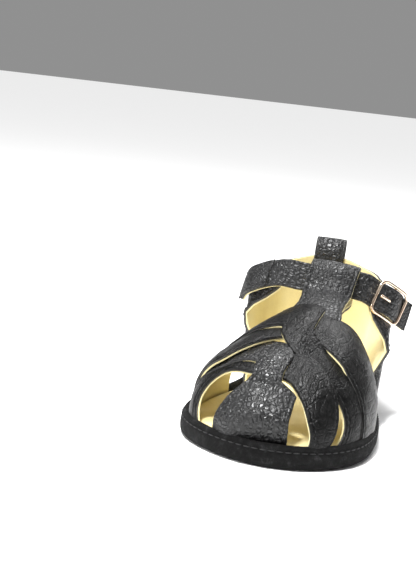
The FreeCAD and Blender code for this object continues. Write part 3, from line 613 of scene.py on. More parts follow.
def strap_rows(stations):
    """Rows over the foot form between the front and rear rails of a woven strap."""
    rails = []
    for front, rear, side in stations:
        foot = 180.0 - FOOT_ANGLE if side < 0 else FOOT_ANGLE
        rails.append([(y, foot if x is None else form_angle(x, y), lift) for x, y, lift in (front, rear)])
    curves = [[Curve([(k, rails[k][rail][item]) for k in range(len(rails))]) for item in range(3)]
              for rail in (0, 1)]
    rows, normals = [], []
    for r in range((len(rails) - 1) * STEPS + 1):
        front, rear = [[curve(r / STEPS) for curve in rail] for rail in curves]
        points, outward = [], []
        for c in range(ACROSS):
            f = c / (ACROSS - 1)
            y, angle, lift = [front[i] + (rear[i] - front[i]) * f for i in range(3)]
            direction = form_normal(y, angle)
            points.append(form_point(y, angle) + direction * lift)
            outward.append(direction)
        rows.append(points)
        normals.append(outward)
    for at_end in (0, -1):
        if stations[at_end][0][0] is None:
            foot = [Vector((p.x, p.y, UPPER_FOOT_Z)) for p in rows[at_end]]
            level = [Vector((d.x, d.y, 0.0)).normalized() for d in normals[at_end]]
            place = 0 if at_end == 0 else len(rows)
            rows.insert(place, foot)
            normals.insert(place, level)
    return rows, normals


CROSS_STRAP_ONE = [
    ((FOOT, -45.0, 0), (FOOT, -37.0, 0), -1),
    ((-25.6, -40.4, 0), (-26.0, -33.4, 0), -1),
    ((-19.8, -39.0, 0), (-19.5, -31.8, 0), -1),
    ((-10.2, -42.2, 0), (-10.0, -33.0, 0), -1),
    ((-4.5, -42.8, 0), (-4.0, -32.6, 0), -1),
    ((0.6, -43.8, 0), (4.4, -33.0, 1.0), 1),
    ((5.2, -47.4, 0), (12.8, -39.6, UNDER), 1),
    ((9.0, -51.8, 0), (16.8, -44.6, 0.4), 1),
    ((FOOT, -53.8, -0.8), (FOOT, -49.2, -0.4), 1),
]
CROSS_STRAP_TWO = [
    ((FOOT, -27.0, 0), (FOOT, -14.0, 0), -1),
    ((-26.8, -33.6, UNDER), (-26.6, -17.0, 0), -1),
    ((-20.4, -36.8, TWICE), (-21.0, -17.0, 0.2), -1),
    ((-12.4, -32.6, TWICE), (-12.5, -15.0, 0.2), -1),
    ((-4.3, -27.0, UNDER), (-5.0, -14.0, 0), -1),
    ((4.6, -25.4, 0.8), (6.4, -9.6, 1.2), 1),
    ((13.7, -30.2, SHINGLE), (14.6, -6.6, UNDER), 1),
    ((16.9, -31.4, 1.3), (19.8, -9.6, UNDER), 1),
    ((20.2, -32.6, 0.9), (24.4, -13.5, UNDER), 1),
    ((FOOT, -37.0, 0.9), (FOOT, -15.0, 1.2), 1),
]
INSTEP_TONGUE = [
    ((FOOT, -46.6, 0), (FOOT, -32.0, 0), 1),
    ((18.9, -42.6, 0), (24.4, -29.5, 0), 1),
    ((13.6, -40.2, 0), (19.8, -27.4, 0), 1),
    ((4.6, -36.0, 0.2), (11.4, -25.4, 0.1), 1),
    ((-1.6, -31.2, 1.7), (5.6, -23.6, 1.7), 1),
    ((-4.6, -25.6, 3.0), (4.4, -20.0, 2.6), 1),
    ((-5.2, -21.6, 3.0), (5.6, -8.4, 3.0), -1),
    ((-11.6, -20.4, 2.6), (-4.6, -3.6, 1.6), -1),
    ((-20.0, -19.4, 1.3), (-16.6, -4.6, 0.2), -1),
    ((FOOT, -16.0, 0.6), (FOOT, -3.0, 0), -1),
]
TOE_TONGUE = [
    ((-11.6, -44.8, 0), (4.4, -47.8, 0), -1),
    ((-10.0, -43.4, 1.3), (-1.0, -44.8, 1.3), -1),
    ((-9.8, -41.4, UNDER), (-0.8, -41.6, UNDER), -1),
    ((-10.0, -39.2, UNDER), (0.6, -36.4, UNDER), -1),
    ((-15.0, -37.6, 1.5), (-1.8, -30.2, 1.2), -1),
    ((-20.6, -37.2, 0.9), (-11.0, -26.4, 0), -1),
    ((-25.4, -36.0, 0.7), (-21.5, -25.6, 0), -1),
    ((FOOT, -33.0, 0), (FOOT, -25.0, 0), -1),
]
TOE_FAN_CENTRE = Vector((-3.5, -44.0, 0.0))
TOE_FAN = (202.0, 305.0)
FAN_STEPS, FAN_REACH, FAN_EASE, FAN_TURN = 16, 0.94, 1.8, 0.7
TOE_FAN_TUCK = 0.8


def toe_edge(bearing):
    """Plan place on the foot of the form, seen from the fan centre along a bearing."""
    direction = Vector((math.cos(math.radians(bearing)), math.sin(math.radians(bearing)), 0.0))
    near, far = 0.0, 40.0
    for _ in range(40):
        middle = (near + far) / 2
        place = TOE_FAN_CENTRE + direction * middle
        inside = place.y > TOE_Y + FORM_INSET
        if inside:
            side = -1 if place.x < ridge_x(place.y) else 1
            ridge, half, _full = half_section(place.y, side)
            inside = abs(place.x - ridge) < half
        near, far = (middle, far) if inside else (near, middle)
    return TOE_FAN_CENTRE + direction * (near - TOE_FAN_TUCK), direction


def toe_fan_rows():
    """Rows that follow the toe edge before the tongue narrows."""
    bearings = [TOE_FAN[0] + (TOE_FAN[1] - TOE_FAN[0]) * c / (ACROSS - 1) for c in range(ACROSS)]
    edges = [toe_edge(bearing) for bearing in bearings]
    rows = [[Vector((p.x, p.y, UPPER_FOOT_Z)) for p, _d in edges]]
    normals = [[d for _p, d in edges]]
    front, rear, _side = TOE_TONGUE[0]
    for n in range(FAN_STEPS):
        share = FAN_REACH * (n / FAN_STEPS) ** FAN_EASE
        points, outward = [], []
        for c, (place, direction) in enumerate(edges):
            f = c / (ACROSS - 1)
            neck = Vector((front[0] + (rear[0] - front[0]) * f, front[1] + (rear[1] - front[1]) * f, 0.0))
            spot = place + (neck - place) * share
            angle = form_angle(spot.x, spot.y)
            points.append(form_point(spot.y, angle))
            level = max(1.0 - share / FAN_TURN, 0.0)
            outward.append((form_normal(spot.y, angle) + direction * level).normalized())
        rows.append(points)
        normals.append(outward)
    return rows, normals


fan_rows, fan_normals = toe_fan_rows()
neck_rows, neck_normals = strap_rows(TOE_TONGUE)
WOVEN = [("cross_strap_front", strap_rows(CROSS_STRAP_ONE), STRETCHED_SKIN),
         ("cross_strap_rear", strap_rows(CROSS_STRAP_TWO), STRETCHED_SKIN),
         ("instep_tongue", strap_rows(INSTEP_TONGUE), STRETCHED_SKIN),
         ("toe_tongue", (fan_rows + neck_rows, fan_normals + neck_normals), LEATHER_SKIN)]
for label, (rows, normals), skin in WOVEN:
    two_plies(label, rows, normals, skin, crown=0.45)
    stitches(label + "_stitches", edge_lines(rows[2:-2], normals[2:-2]), UPPER)


# ---- quarters
QUARTER_TOP = Curve([(0.0, 37.5), (0.1, 41.0), (0.35, 43.5), (0.7, 46.2), (0.92, HEEL_HEIGHT),
                     (1.0, HEEL_HEIGHT)])
QUARTER_FLARE = {-1: Curve([(0.0, 5.6), (0.2, 5.6), (0.557, 5.2), (0.844, 2.0), (1.0, 1.0)]),
                 1: Curve([(0.0, 2.0), (0.2, 5.4), (0.557, 5.0), (0.844, 2.4), (1.0, 1.0)])}
HEEL_TURN_Y, HEEL_TURN_STEPS = 45, 18
HEEL_SEAM = 1.004
HEEL_PATH_LENGTH = 77.0


def heel_path(side, inset):
    """Plan points from the middle of the shoe round to the back of the heel, with their places."""
    outline = Curve([(y, side * w) for y, w in (INNER_SIDE if side < 0 else OUTER_SIDE) if y <= 48.0])
    path = [Vector((outline(y), y, 0.0)) for y in range(int(QUARTER_FRONT_Y), HEEL_TURN_Y + 1)]
    turn_y, wide = path[-1].y, abs(path[-1].x)
    for k in range(1, HEEL_TURN_STEPS + 1):
        turn = math.radians(90.0 * k / HEEL_TURN_STEPS)
        path.append(Vector((side * wide * math.cos(turn), turn_y + (HEEL_Y - turn_y) * math.sin(turn), 0.0)))
    run = running(path)
    moved = []
    for k, here in enumerate(path):
        ahead = path[min(k + 1, len(path) - 1)] - path[max(k - 1, 0)]
        if k == len(path) - 1:
            ahead = Vector((-side, 0.0, 0.0))
        outward = Vector((ahead.y, -ahead.x, 0.0)).normalized() * (1 if side > 0 else -1)
        moved.append((here - outward * inset, outward))
    return [r / run[-1] for r in run], moved


HEEL_PATHS = {side: heel_path(side, QUARTER_INSET) for side in (-1, 1)}


def wall_place(side, place, z):
    """Point of the quarter's inner face, before its front is drawn in to the ankle."""
    places, moved = HEEL_PATHS[side]
    k = min(max(bisect.bisect_right(places, place) - 1, 0), len(places) - 2)
    f = (place - places[k]) / (places[k + 1] - places[k])
    spot = moved[k][0] + (moved[k + 1][0] - moved[k][0]) * f
    outward = (moved[k][1] + (moved[k + 1][1] - moved[k][1]) * f).normalized()
    rise = max(z - BINDING_HEIGHT, 0.0) / HEEL_HEIGHT
    bulge = QUARTER_FLARE[side](place) * math.sin(min(rise * 1.75, 1.0) * math.pi / 2)
    tuck = 2.2 * max(rise - 0.55, 0.0)
    spot = spot + outward * (bulge - tuck)
    return Vector((spot.x, spot.y, z))


def place_at(side, y):
    """Place along the heel path where the wall's foot reaches y."""
    places, moved = HEEL_PATHS[side]
    k = next(i for i, (spot, _out) in enumerate(moved) if spot.y >= y)
    if k == 0:
        return places[0]
    before, after = moved[k - 1][0].y, moved[k][0].y
    return places[k - 1] + (places[k] - places[k - 1]) * (y - before) / (after - before)


# Front edge of each quarter: height, then place across and along.
FRONT_EDGE = {
    -1: [(4.2, -20.2, 8.5), (12.0, -20.4, 12.0), (21.4, -21.2, 17.2), (25.0, -23.6, 20.4), (27.8, -24.9, 22.0),
         (30.3, -24.0, 22.0), (33.2, -21.0, 20.7), (36.0, -17.2, 20.2), (38.4, -14.6, 19.9),
         (40.6, -12.6, 19.4)],
    1: [(4.2, 26.3, -13.0), (9.0, 25.8, -8.0), (13.0, 24.6, -2.0), (16.5, 23.6, 4.0), (19.4, 24.2, 8.8),
        (22.0, 26.2, 11.6), (24.5, 27.2, 13.4), (27.0, 26.2, 15.2), (29.8, 24.0, 16.8), (33.4, 20.9, 18.4),
        (36.4, 19.4, 19.2), (38.4, 18.9, 19.3)],
}
# How far back each quarter takes to come out to its full width, low down and at the ankle.
FRONT_REACH = {-1: Curve([(24.0, 4.5), (38.0, 6.0)]),
               1: Curve([(24.0, 7.0), (29.0, 9.0), (36.0, 12.5)])}
QUARTER_SHARES = [0.0, 0.002, 0.006, 0.012, 0.020, 0.028, 0.036, 0.046, 0.06] + [k / 40 for k in range(3, 41)]
QUARTER_HIGH = 34


def quarter_rows(side):
    """Rows from the front edge to the heel, each from the sole up to the top line."""
    across_at = Curve([(z, x) for z, x, _y in FRONT_EDGE[side]])
    along_at = Curve([(z, y) for z, _x, y in FRONT_EDGE[side]])
    front_top = FRONT_EDGE[side][-1][0]
    rows = []
    for share in QUARTER_SHARES:
        points = []
        top = QUARTER_TOP(share) + (front_top - QUARTER_TOP(0.0)) * max(1.0 - share / 0.25, 0.0) ** 2
        for f in range(QUARTER_HIGH + 1):
            up = f / QUARTER_HIGH
            edge_z = UPPER_FOOT_Z + (front_top - UPPER_FOOT_Z) * up
            edge = Vector((across_at(edge_z), along_at(edge_z), edge_z))
            front = place_at(side, edge.y)
            place = front + (HEEL_SEAM - front) * share
            z = UPPER_FOOT_Z + (top - UPPER_FOOT_Z) * up
            wall = wall_place(side, place, z)
            start = wall_place(side, front, edge_z)
            gone = min((place - front) * HEEL_PATH_LENGTH / FRONT_REACH[side](edge_z), 1.0)
            points.append(wall + (edge - start) * (1.0 - gone * gone * (3.0 - 2.0 * gone)))
        rows.append(points)
    return rows, grid_normals(rows, side)


def grid_normals(rows, side):
    """Outward directions of a grid of points, from its own slopes."""
    normals = []
    for r, row in enumerate(rows):
        outward = []
        for c in range(len(row)):
            along = rows[min(r + 1, len(rows) - 1)][c] - rows[max(r - 1, 0)][c]
            up = row[min(c + 1, len(row) - 1)] - row[max(c - 1, 0)]
            outward.append((along.cross(up) * side).normalized())
        normals.append(outward)
    return normals


SEAM_ROW, SEAM_FOOT = 5, 5
for label, side in (("inner_quarter", -1), ("outer_quarter", 1)):
    rows, normals = quarter_rows(side)
    two_plies(label, rows, normals, crown=0.0, ends=(True, False), grooves=(False, True))
    top = rail_on(rows, normals, STITCH_IN, THREAD_HEIGHT, True)
    front = row_line(rows[SEAM_ROW][SEAM_FOOT:], normals[SEAM_ROW][SEAM_FOOT:])
    stitches(label + "_stitches", [top, front], UPPER)


# ---- bands: T-bar, ankle strap, heel loop
def band_rows(path, half_widths, wide, crowns=None, across=9):
    """Rows of a band: centres, half-widths, one width direction, and how far its edges droop."""
    crowns = crowns or [0.0] * len(path)
    rows, normals = [], []
    for k, here in enumerate(path):
        along = (path[min(k + 1, len(path) - 1)] - path[max(k - 1, 0)]).normalized()
        outward = along.cross(wide).normalized()
        shares = [2.0 * c / (across - 1) - 1.0 for c in range(across)]
        rows.append([here + wide * half_widths[k] * s - outward * crowns[k] * s * s for s in shares])
        normals.append([outward] * across)
    return rows, normals


STRAP_WIDE = Vector((0.16, 0.32, 0.93)).normalized()
STRAP_KNOTS = [(-26.0, 26.6, 37.6), (-22.9, 22.7, 41.7), (-13.6, 19.4, 46.0), (-4.6, 17.9, 46.0),
               (4.5, 17.7, 46.2), (15.15, 18.57, 45.3), (17.4, 19.6, 44.6), (19.3, 21.2, 43.3)]
BUCKLE_CENTRE = Vector((26.1, 23.8, 40.0))
BUCKLE_U = Vector((0.676, 0.563, -0.472)).normalized()
BUCKLE_N = Vector((0.685, -0.715, 0.128))
BUCKLE_N = (BUCKLE_N - BUCKLE_U * BUCKLE_N.dot(BUCKLE_U)).normalized()
BUCKLE_V = BUCKLE_N.cross(BUCKLE_U)
FLAP_WAVE = [(-6.8, -2.7), (-3.2, -0.8), (0.0, 0.0), (3.2, -0.8), (6.4, -2.7), (8.6, -2.8), (12.2, -3.1)]


def on_buckle(u, v, n):
    return BUCKLE_CENTRE + BUCKLE_U * u + BUCKLE_V * v + BUCKLE_N * n


BAND_STEPS = 10
strap_knots = [Vector(p) for p in STRAP_KNOTS] + [on_buckle(u, 0, n) for u, n in FLAP_WAVE]
strap_path = smooth_path(strap_knots, BAND_STEPS)
rows, normals = band_rows(strap_path, [STRAP_HALF] * len(strap_path), STRAP_WIDE)
STRAP_CROWN = 0.3
strap_skin, strap_cloth = two_plies("ankle_strap", rows, normals, crown=STRAP_CROWN, body=None,
                                    nodes=["ankle_strap", "closing_flap"], ends=(True, True))
for thing in (strap_skin, strap_cloth):
    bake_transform(thing)


def strap_index(x):
    """First place of the ankle strap's path past x."""
    return next(k for k, p in enumerate(strap_path) if p.x > x)


FIXED_STITCHES_TO, FLAP_STITCHES_FROM, HOLE_X, TAB_TO = 13.5, 16.9, 17.5, -16.0
tail = slice(strap_index(FLAP_STITCHES_FROM), None)
stitches("closing_flap_stitches", edge_lines(rows[tail], normals[tail]), FLAP)
fixed = slice(2, strap_index(FIXED_STITCHES_TO))
stitches("ankle_strap_stitches", edge_lines(rows[fixed], normals[fixed]), UPPER)

# The adjusting hole beside the buckle: (radius, height) of its pressed rim, from outside in.
HOLE_PROFILE = [(0.8, -0.5), (0.84, 0.03), (0.68, 0.09), (0.56, -0.02)]
HOLE_AROUND = 20
hole_row = strap_index(HOLE_X)
hole_out = normals[hole_row][0]
hole_along = (strap_path[hole_row + 1] - strap_path[hole_row]).normalized()
hole_centre = strap_path[hole_row] + hole_out * (LEATHER[1] + STRAP_CROWN)
hole_points = []
for radius, rise in HOLE_PROFILE:
    hole_points += circle(hole_centre + hole_out * rise, hole_along, STRAP_WIDE, radius, HOLE_AROUND)
hole_faces = ring_faces(len(HOLE_PROFILE), HOLE_AROUND)
stands_for(make_object("strap_hole_rim", hole_points, hole_faces, [CUT_EDGE]), "black_leather", FLAP)

# Stitched tab over the inner end of the ankle strap.
tab_path = [p for p in strap_path if p.x < TAB_TO]
rows, normals = band_rows(tab_path, [STRAP_HALF + 0.1] * len(tab_path), STRAP_WIDE)
TAB_PLY = (LEATHER[1] - 0.05, LEATHER[1] + 0.8)
tab = sheet("anchor_tab_skin", rows, normals, TAB_PLY, [LEATHER_SKIN, CUT_EDGE], crown=0.25, groove=0.16,
            ends=(True, True), wrinkle=0.12)
stands_for(tab, "black_leather", UPPER, "strap_anchor_tab")
across_end = row_line(rows[-4][1:-1], normals[-4][1:-1], TAB_PLY[1])
stitches("anchor_tab_stitches", edge_lines(rows[1:-1], normals[1:-1], TAB_PLY[1]) + [across_end], UPPER)

# T-bar: one strip from under the instep tongue, over the ankle strap, and back under itself.
TBAR_WIDE = Vector((-1.0, 0.0, 0.06)).normalized()
TBAR_PATH = [(3.2, -10.4, 37.2), (3.4, -5.0, 38.7), (3.6, 0.5, 39.9), (3.9, 6.5, 41.0), (4.2, 12.2, 42.6),
             (4.8, 15.0, 46.4), (5.4, 16.7, 49.6), (5.8, 18.9, 51.0), (5.7, 21.2, 50.2), (5.2, 20.8, 47.0),
             (4.6, 19.0, 43.0), (4.4, 16.4, 40.2), (4.1, 11.0, 39.7), (3.9, 6.0, 39.2), (3.8, 2.4, 38.6)]
TBAR_HALF = [8.6, 8.5, 7.7, 7.9] + [8.7] * 8 + [7.6, 6.8, 6.2]
TBAR_CROWN = [1.3, 1.3, 1.2, 0.9, 0.5, 0.2, 0.2, 0.2, 0.2, 0.2, 0.2, -0.5, -0.9, -1.2, -1.2]
TBAR_SEAM_Y = 2.0
tbar_path = smooth_path([Vector(p) for p in TBAR_PATH], BAND_STEPS)
tbar_widths, tbar_crowns = spread(TBAR_HALF, BAND_STEPS), spread(TBAR_CROWN, BAND_STEPS)
rows, normals = band_rows(tbar_path, tbar_widths, TBAR_WIDE, tbar_crowns, 15)
seam_row = next(k for k, p in enumerate(tbar_path) if p.y > TBAR_SEAM_Y)
two_plies("tbar_loop", rows, normals, crown=0.3, groove=0.2, seams=(row_runs(rows)[seam_row],))
top_part = slice(1, 6 * BAND_STEPS)
seam_line = row_line(rows[seam_row][1:-1], normals[seam_row][1:-1], LEATHER[1])
stitches("tbar_stitches", edge_lines(rows[top_part], normals[top_part]) + [seam_line], UPPER)

# Heel pull loop: folded leather sewn inside and outside the top of the heel.
HEEL_LOOP = [(55.8, 40.5), (55.9, 44.5), (56.0, 48.5), (56.9, 51.6), (58.8, 54.1), (60.6, 54.0),
             (61.2, 51.8), (60.0, 49.2), (58.75, 46.5), (58.75, 43.5), (58.75, 40.5)]
LOOP_X, LOOP_HALF_WIDTH = -0.5, 5.75
loop_path = smooth_path([Vector((LOOP_X, y, z)) for y, z in HEEL_LOOP], BAND_STEPS)
rows, normals = band_rows(loop_path, [LOOP_HALF_WIDTH] * len(loop_path), Vector((-1.0, 0.0, 0.0)))
heel_loop = sheet("heel_loop_skin", rows, normals, (0.0, 1.0), [LEATHER_SKIN, CUT_EDGE], crown=0.15,
                  groove=0.12, ends=(True, True), wrinkle=0.12)
stands_for(heel_loop, "black_leather", UPPER, "heel_pull_loop")
stitches("heel_loop_stitches", edge_lines(rows, normals, 0.98), UPPER)


# ---- sole
def outline_ring(count, inset):
    """Closed smooth run round the sole outline, with outward directions."""
    knots = [Vector((-w, y, 0.0)) for y, w in INNER_SIDE]
    knots += [Vector((w, y, 0.0)) for y, w in OUTER_SIDE[-2:0:-1]]
    closed = knots + [knots[0]]
    chord = np.cumsum([0.0] + [(b - a).length for a, b in zip(closed, closed[1:])])
    n = len(knots)
    step = np.diff(chord)
    system = np.zeros((n, n))
    right = np.zeros((n, 2))
    flat = np.array([[p.x, p.y] for p in closed])
    slope = np.diff(flat, axis=0) / step[:, None]
    for i in range(n):
        before = step[i - 1]
        system[i, i - 1] = step[i]
        system[i, i] = 2 * (before + step[i])
        system[i, (i + 1) % n] = before
        right[i] = 3 * (step[i] * slope[i - 1] + before * slope[i])
    tangent = np.linalg.solve(system, right)
    ring = []
    for s in np.linspace(0.0, chord[-1], count, endpoint=False):
        i = min(int(np.searchsorted(chord, s, side="right")) - 1, n - 1)
        h = step[i]
        f = (s - chord[i]) / h
        m0, m1 = tangent[i] * h, tangent[(i + 1) % n] * h
        p0, p1 = flat[i], flat[i + 1]
        place = ((2 * f**3 - 3 * f**2 + 1) * p0 + (f**3 - 2 * f**2 + f) * m0
                 + (3 * f**2 - 2 * f**3) * p1 + (f**3 - f**2) * m1)
        pull = ((6 * f**2 - 6 * f) * (p0 - p1) + (3 * f**2 - 4 * f + 1) * m0 + (3 * f**2 - 2 * f) * m1)
        out = Vector((pull[1], -pull[0], 0.0)).normalized()
        ring.append((Vector((place[0], place[1], 0.0)), out))
    middle = sum((p for p, _o in ring), Vector((0.0, 0.0, 0.0))) / count
    sign = 1.0 if (ring[0][0] - middle).dot(ring[0][1]) > 0 else -1.0
    return [(p - o * sign * inset, o * sign) for p, o in ring]


RING_COUNT = 560
# Section of the folded binding tape: (distance in from the outline, height), from its inner foot round.
BINDING_SECTION = [(2.45, 0.25), (1.6, 0.0), (0.9, 0.1), (0.35, 0.6), (0.08, 1.5), (0.0, 2.7), (0.05, 3.9),
                   (0.2, 5.0), (0.42, 5.9), (0.75, 6.7), (1.2, 7.25), (1.7, 7.42), (2.15, 7.2), (2.42, 6.6),
                   (2.5, 5.6), (2.5, 3.4), (2.5, 1.4)]
SEAM_HEIGHT, SEAM_DEPTH, SEAM_WIDTH = 5.55, 0.20, 0.30
PUCKER, PUCKER_RISE, PUCKER_WIDTH = 0.06, 0.6, 0.8
OVERLAP_AT, OVERLAP_RUN, OVERLAP_LIFT = Vector((-24.5, 8.0, 0.0)), 3.2, 0.45
OUTER_FACE, SOFTNESS, TOP_FOLD = 1.6, 0.16, 6.0
BINDING_STITCH = {"radius": 0.19, "pitch": 2.6, "length": 1.9}


def binding():
    """Twill tape folded round the sole edge: slightly wavy, with a stitch line and one lapped end."""
    ring = outline_ring(RING_COUNT, 0.0)
    section = smooth_path([Vector((d, z, 0.0)) for d, z in BINDING_SECTION + BINDING_SECTION[:1]], 2)[:-1]
    run = running([place for place, _out in ring])
    whole = run[-1] + (ring[0][0] - ring[-1][0]).length
    lap = min(range(RING_COUNT), key=lambda k: (ring[k][0] - OVERLAP_AT).length)
    around = running(section)
    vertices, uvs = [], []
    for k, (place, out) in enumerate(ring):
        pucker = PUCKER * math.cos(2 * math.pi * run[k] / BINDING_STITCH["pitch"])
        ahead = (run[k] - run[lap]) % whole
        lapped = OVERLAP_LIFT * max(0.0, 1.0 - ahead / OVERLAP_RUN)
        for spot, girth in zip(section, around):
            outer = max(0.0, 1.0 - spot.x / OUTER_FACE)
            soft = SOFTNESS * wrinkle_at(Vector((place.x, place.y, spot.y * 1.5)), 7.0)
            above = spot.y - SEAM_HEIGHT
            seam = -SEAM_DEPTH * math.exp(-(above / SEAM_WIDTH) ** 2)
            seam += pucker * math.exp(-((above - PUCKER_RISE) / PUCKER_WIDTH) ** 2)
            push = outer * (soft + seam + lapped) - spot.x
            height = spot.y + (0.10 * soft + pucker * 0.5 if spot.y > TOP_FOLD else 0.0)
            vertices.append(place + out * push + Vector((0.0, 0.0, max(height, 0.0))))
            uvs.append((run[k], girth))
    faces = ring_faces(RING_COUNT, len(section), closed=True)
    stands_for(make_object("binding_tape", vertices, faces, [TWILL], None, uvs), "twill_binding", UPPER,
               "sole_binding")
    line = [place - out * 0.22 + Vector((0.0, 0.0, SEAM_HEIGHT)) for place, out in ring]
    outs = [out for _place, out in ring]
    stitches("binding_stitches", [(line + line[:1], outs + outs[:1])], UPPER, **BINDING_STITCH)


# The insole from its lower edge up and in to the middle: (share of its outline, height).
FOOTBED_RINGS = [(1.0, 4.15), (1.0, 5.6), (0.992, 6.05), (0.975, 6.25), (0.93, 6.3), (0.82, 6.15),
                 (0.66, 5.95), (0.48, 5.85), (0.30, 5.8), (0.14, 5.78)]
FOOTBED_AROUND, FOOTBED_GAP = 240, 0.9


def footbed():
    """Cloth-covered insole: slightly dished, with a rolled edge."""
    ring = outline_ring(FOOTBED_AROUND, BINDING_WALL + PLY + FOOTBED_GAP)
    vertices = []
    for share, z in FOOTBED_RINGS:
        for place, _out in ring:
            spot = place * share
            soft = 0.10 * wrinkle_at(spot, 9.0) if z > 5.7 else 0.0
            vertices.append(Vector((spot.x, spot.y, z + soft)))
    rings = len(FOOTBED_RINGS)
    faces = ring_faces(rings, FOOTBED_AROUND)[:-2]
    top, under = len(vertices), len(vertices) + 1
    vertices += [Vector((0.0, 0.0, FOOTBED_RINGS[-1][1])), Vector((0.0, 0.0, FOOTBED_RINGS[0][1]))]
    last = (rings - 1) * FOOTBED_AROUND
    for k in range(FOOTBED_AROUND):
        n = (k + 1) % FOOTBED_AROUND
        faces += [(last + k, last + n, top), (n, k, under)]
    uvs = [(p.x, p.y) for p in vertices]
    stands_for(make_object("footbed_cloth", vertices, faces, [FOOTBED_CLOTH], None, uvs), "footbed_fabric",
               UPPER, "footbed")


binding()
footbed()


# ---- buckle
WIRE_AROUND = 14
# How much thinner a wire is at its ends: steps from the end, share of the radius.
WIRE_ENDS = {0: 0.35, 1: 0.8}


def tube(name, path, radius, body, *nodes, closed=False):
    """A round gold wire along a path in the buckle's axes, with ends rounded off."""
    spots = [on_buckle(*p) for p in path]
    count = len(spots)
    vertices = []
    side = BUCKLE_N.copy()
    for k, here in enumerate(spots):
        back = spots[k - 1] if closed or k > 0 else here
        ahead = spots[(k + 1) % count] if closed or k < count - 1 else here
        along = (ahead - back).normalized()
        side = (side - along * side.dot(along)).normalized()
        share = 1.0 if closed else WIRE_ENDS.get(min(k, count - 1 - k), 1.0)
        vertices += circle(here, side, along.cross(side), radius * share, WIRE_AROUND)
    faces = ring_faces(count, WIRE_AROUND, closed=closed)
    stands_for(make_object(name, vertices, faces, [GOLD]), "buckle_metal", body, *nodes)


FRAME_U, FRAME_V, FRAME_CORNER = 6.85, 6.05, 2.6
WIRE_RADIUS, EYE_WIRE_RADIUS = 0.62, 0.30
FRAME_BOW, FRAME_LIFT = 0.014, 0.252
CORNER_STEPS, WIRE_STEP = 8, 0.9
corner_run = []
for quarter_turn, (u, v) in enumerate(((1, 1), (-1, 1), (-1, -1), (1, -1))):
    for step in range(CORNER_STEPS + 1):
        turn = math.radians(90.0 * quarter_turn + 90.0 * step / CORNER_STEPS)
        corner_run.append((u * (FRAME_U - FRAME_CORNER) + FRAME_CORNER * math.cos(turn),
                           v * (FRAME_V - FRAME_CORNER) + FRAME_CORNER * math.sin(turn)))
outline = []
for one, two in zip(corner_run, corner_run[1:] + corner_run[:1]):
    pieces = max(1, round(math.dist(one, two) / WIRE_STEP))
    outline += [(one[0] + (two[0] - one[0]) * n / pieces, one[1] + (two[1] - one[1]) * n / pieces)
                for n in range(pieces)]
frame_path = [(u, v, FRAME_LIFT - FRAME_BOW * u * u) for u, v in outline]
tube("buckle_ring", frame_path, WIRE_RADIUS, FLAP, "buckle_frame", closed=True)
MIDDLE_DROP, MIDDLE_END_RISE = 0.8, 0.9
bar_path = [(0.0, v, -MIDDLE_DROP + MIDDLE_END_RISE * (abs(v) / FRAME_V) ** 6)
            for v in np.linspace(-FRAME_V, FRAME_V, 25)]
tube("buckle_middle_bar", bar_path, WIRE_RADIUS, FLAP)
EYE_RADIUS, EYE_OPENING = 0.98, 150.0
eye_path = [(EYE_RADIUS * math.cos(t), 0.0, -MIDDLE_DROP + EYE_RADIUS * math.sin(t))
            for t in np.linspace(math.radians(-EYE_OPENING), math.radians(EYE_OPENING), 15)]
tube("prong_eye", eye_path, EYE_WIRE_RADIUS, PRONG)
# The prong's arm: place along the buckle and height over it.
ARM_PATH = [(-1.2, 0.9), (-2.2, 1.75), (-3.4, 1.9), (-4.6, 1.7), (-5.6, 1.3), (-6.1, 1.05)]
arm_path = smooth_path([Vector((u, 0.0, n)) for u, n in ARM_PATH], 4)
tube("prong_arm", arm_path, WIRE_RADIUS, PRONG, "buckle_prong")

# ---- CAD pieces that keep their shape
for node, material in (("outsole", SOLE_RUBBER), ("foam_midsole", FOAM), ("hook_patch", HOOK_TAPE),
                       ("loop_patch", LOOP_TAPE)):
    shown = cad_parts[node]
    shown.data.materials.clear()
    shown.data.materials.append(material)

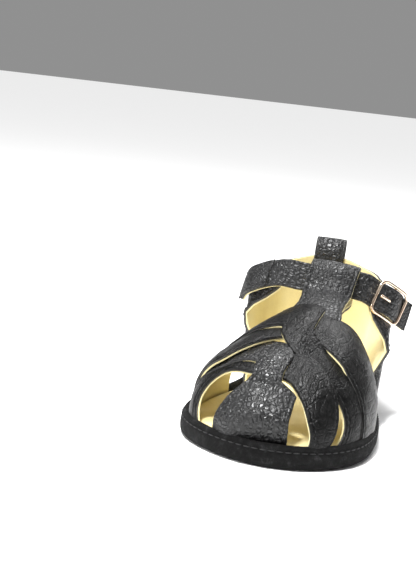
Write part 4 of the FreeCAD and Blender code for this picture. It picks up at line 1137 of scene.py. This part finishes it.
# ---- floor, light and camera
FLOOR_REACH, FLOOR_Z = 3.0, -0.0003
floor_mesh = bpy.data.meshes.new("floor")
corners = [(x * FLOOR_REACH, y * FLOOR_REACH, FLOOR_Z) for x, y in ((-1, -1), (1, -1), (1, 1), (-1, 1))]
floor_mesh.from_pydata(corners, [], [(0, 1, 2, 3)])
floor = bpy.data.objects.new("floor", floor_mesh)
show(floor)
paper = Shader("white_paper", (0.93, 0.93, 0.93), 0.9)
floor_mesh.materials.append(paper.material)

world = bpy.context.scene.world or bpy.data.worlds.new("studio")
bpy.context.scene.world = world
world.use_nodes = True
background = world.node_tree.nodes["Background"]
background.inputs["Color"].default_value = (1.0, 1.0, 1.0, 1.0)
background.inputs["Strength"].default_value = 0.28

bpy.context.scene.view_settings.view_transform = "Standard"
AIM = Vector((0.0, 0.0, 0.02))
# Square softboxes: name, place, size and watts.
SOFTBOXES = [("key_above", (-0.12, -0.20, 0.50), 0.09, 4.2),
             ("instep_glint", (-0.05, 0.10, 0.50), 0.08, 1.4),
             ("camera_side_fill", (-0.30, -0.34, 0.16), 0.10, 0.7),
             ("rear_rim", (0.15, 0.45, 0.45), 0.30, 1.6)]
for name, place, size, watts in SOFTBOXES:
    light = bpy.data.lights.new(name, "AREA")
    light.size = size
    light.energy = watts
    lamp = bpy.data.objects.new(name, light)
    lamp.location = place
    lamp.rotation_mode = "QUATERNION"
    lamp.rotation_quaternion = (AIM - Vector(place)).to_track_quat("-Z", "Y")
    show(lamp)
sun = bpy.data.lights.new("even_daylight", "SUN")
sun.energy = 2.2
sun.angle = math.radians(25.0)
sun_lamp = bpy.data.objects.new("even_daylight", sun)
sun_lamp.visible_glossy = False
sun_lamp.rotation_euler = (math.radians(-12.0), math.radians(-10.0), 0.0)
show(sun_lamp)

CAMERA_PLACE = Vector((0.04005, -0.3956, 0.1210))
CAMERA_FORWARD = Vector((-0.1848, 0.9625, -0.1983)).normalized()
CAMERA_UP = Vector((-0.1443, 0.1731, 0.9743))
camera_right = CAMERA_FORWARD.cross(CAMERA_UP).normalized()
camera_up = camera_right.cross(CAMERA_FORWARD)
camera = bpy.data.objects.new("camera", bpy.data.cameras.new("camera"))
camera.data.lens = 72.74
camera.data.sensor_width = 36.0
camera.data.clip_start = 0.01
camera.matrix_world = Matrix.Translation(CAMERA_PLACE) @ Matrix(
    (camera_right, camera_up, -CAMERA_FORWARD)).transposed().to_4x4()
show(camera)
bpy.context.scene.camera = camera
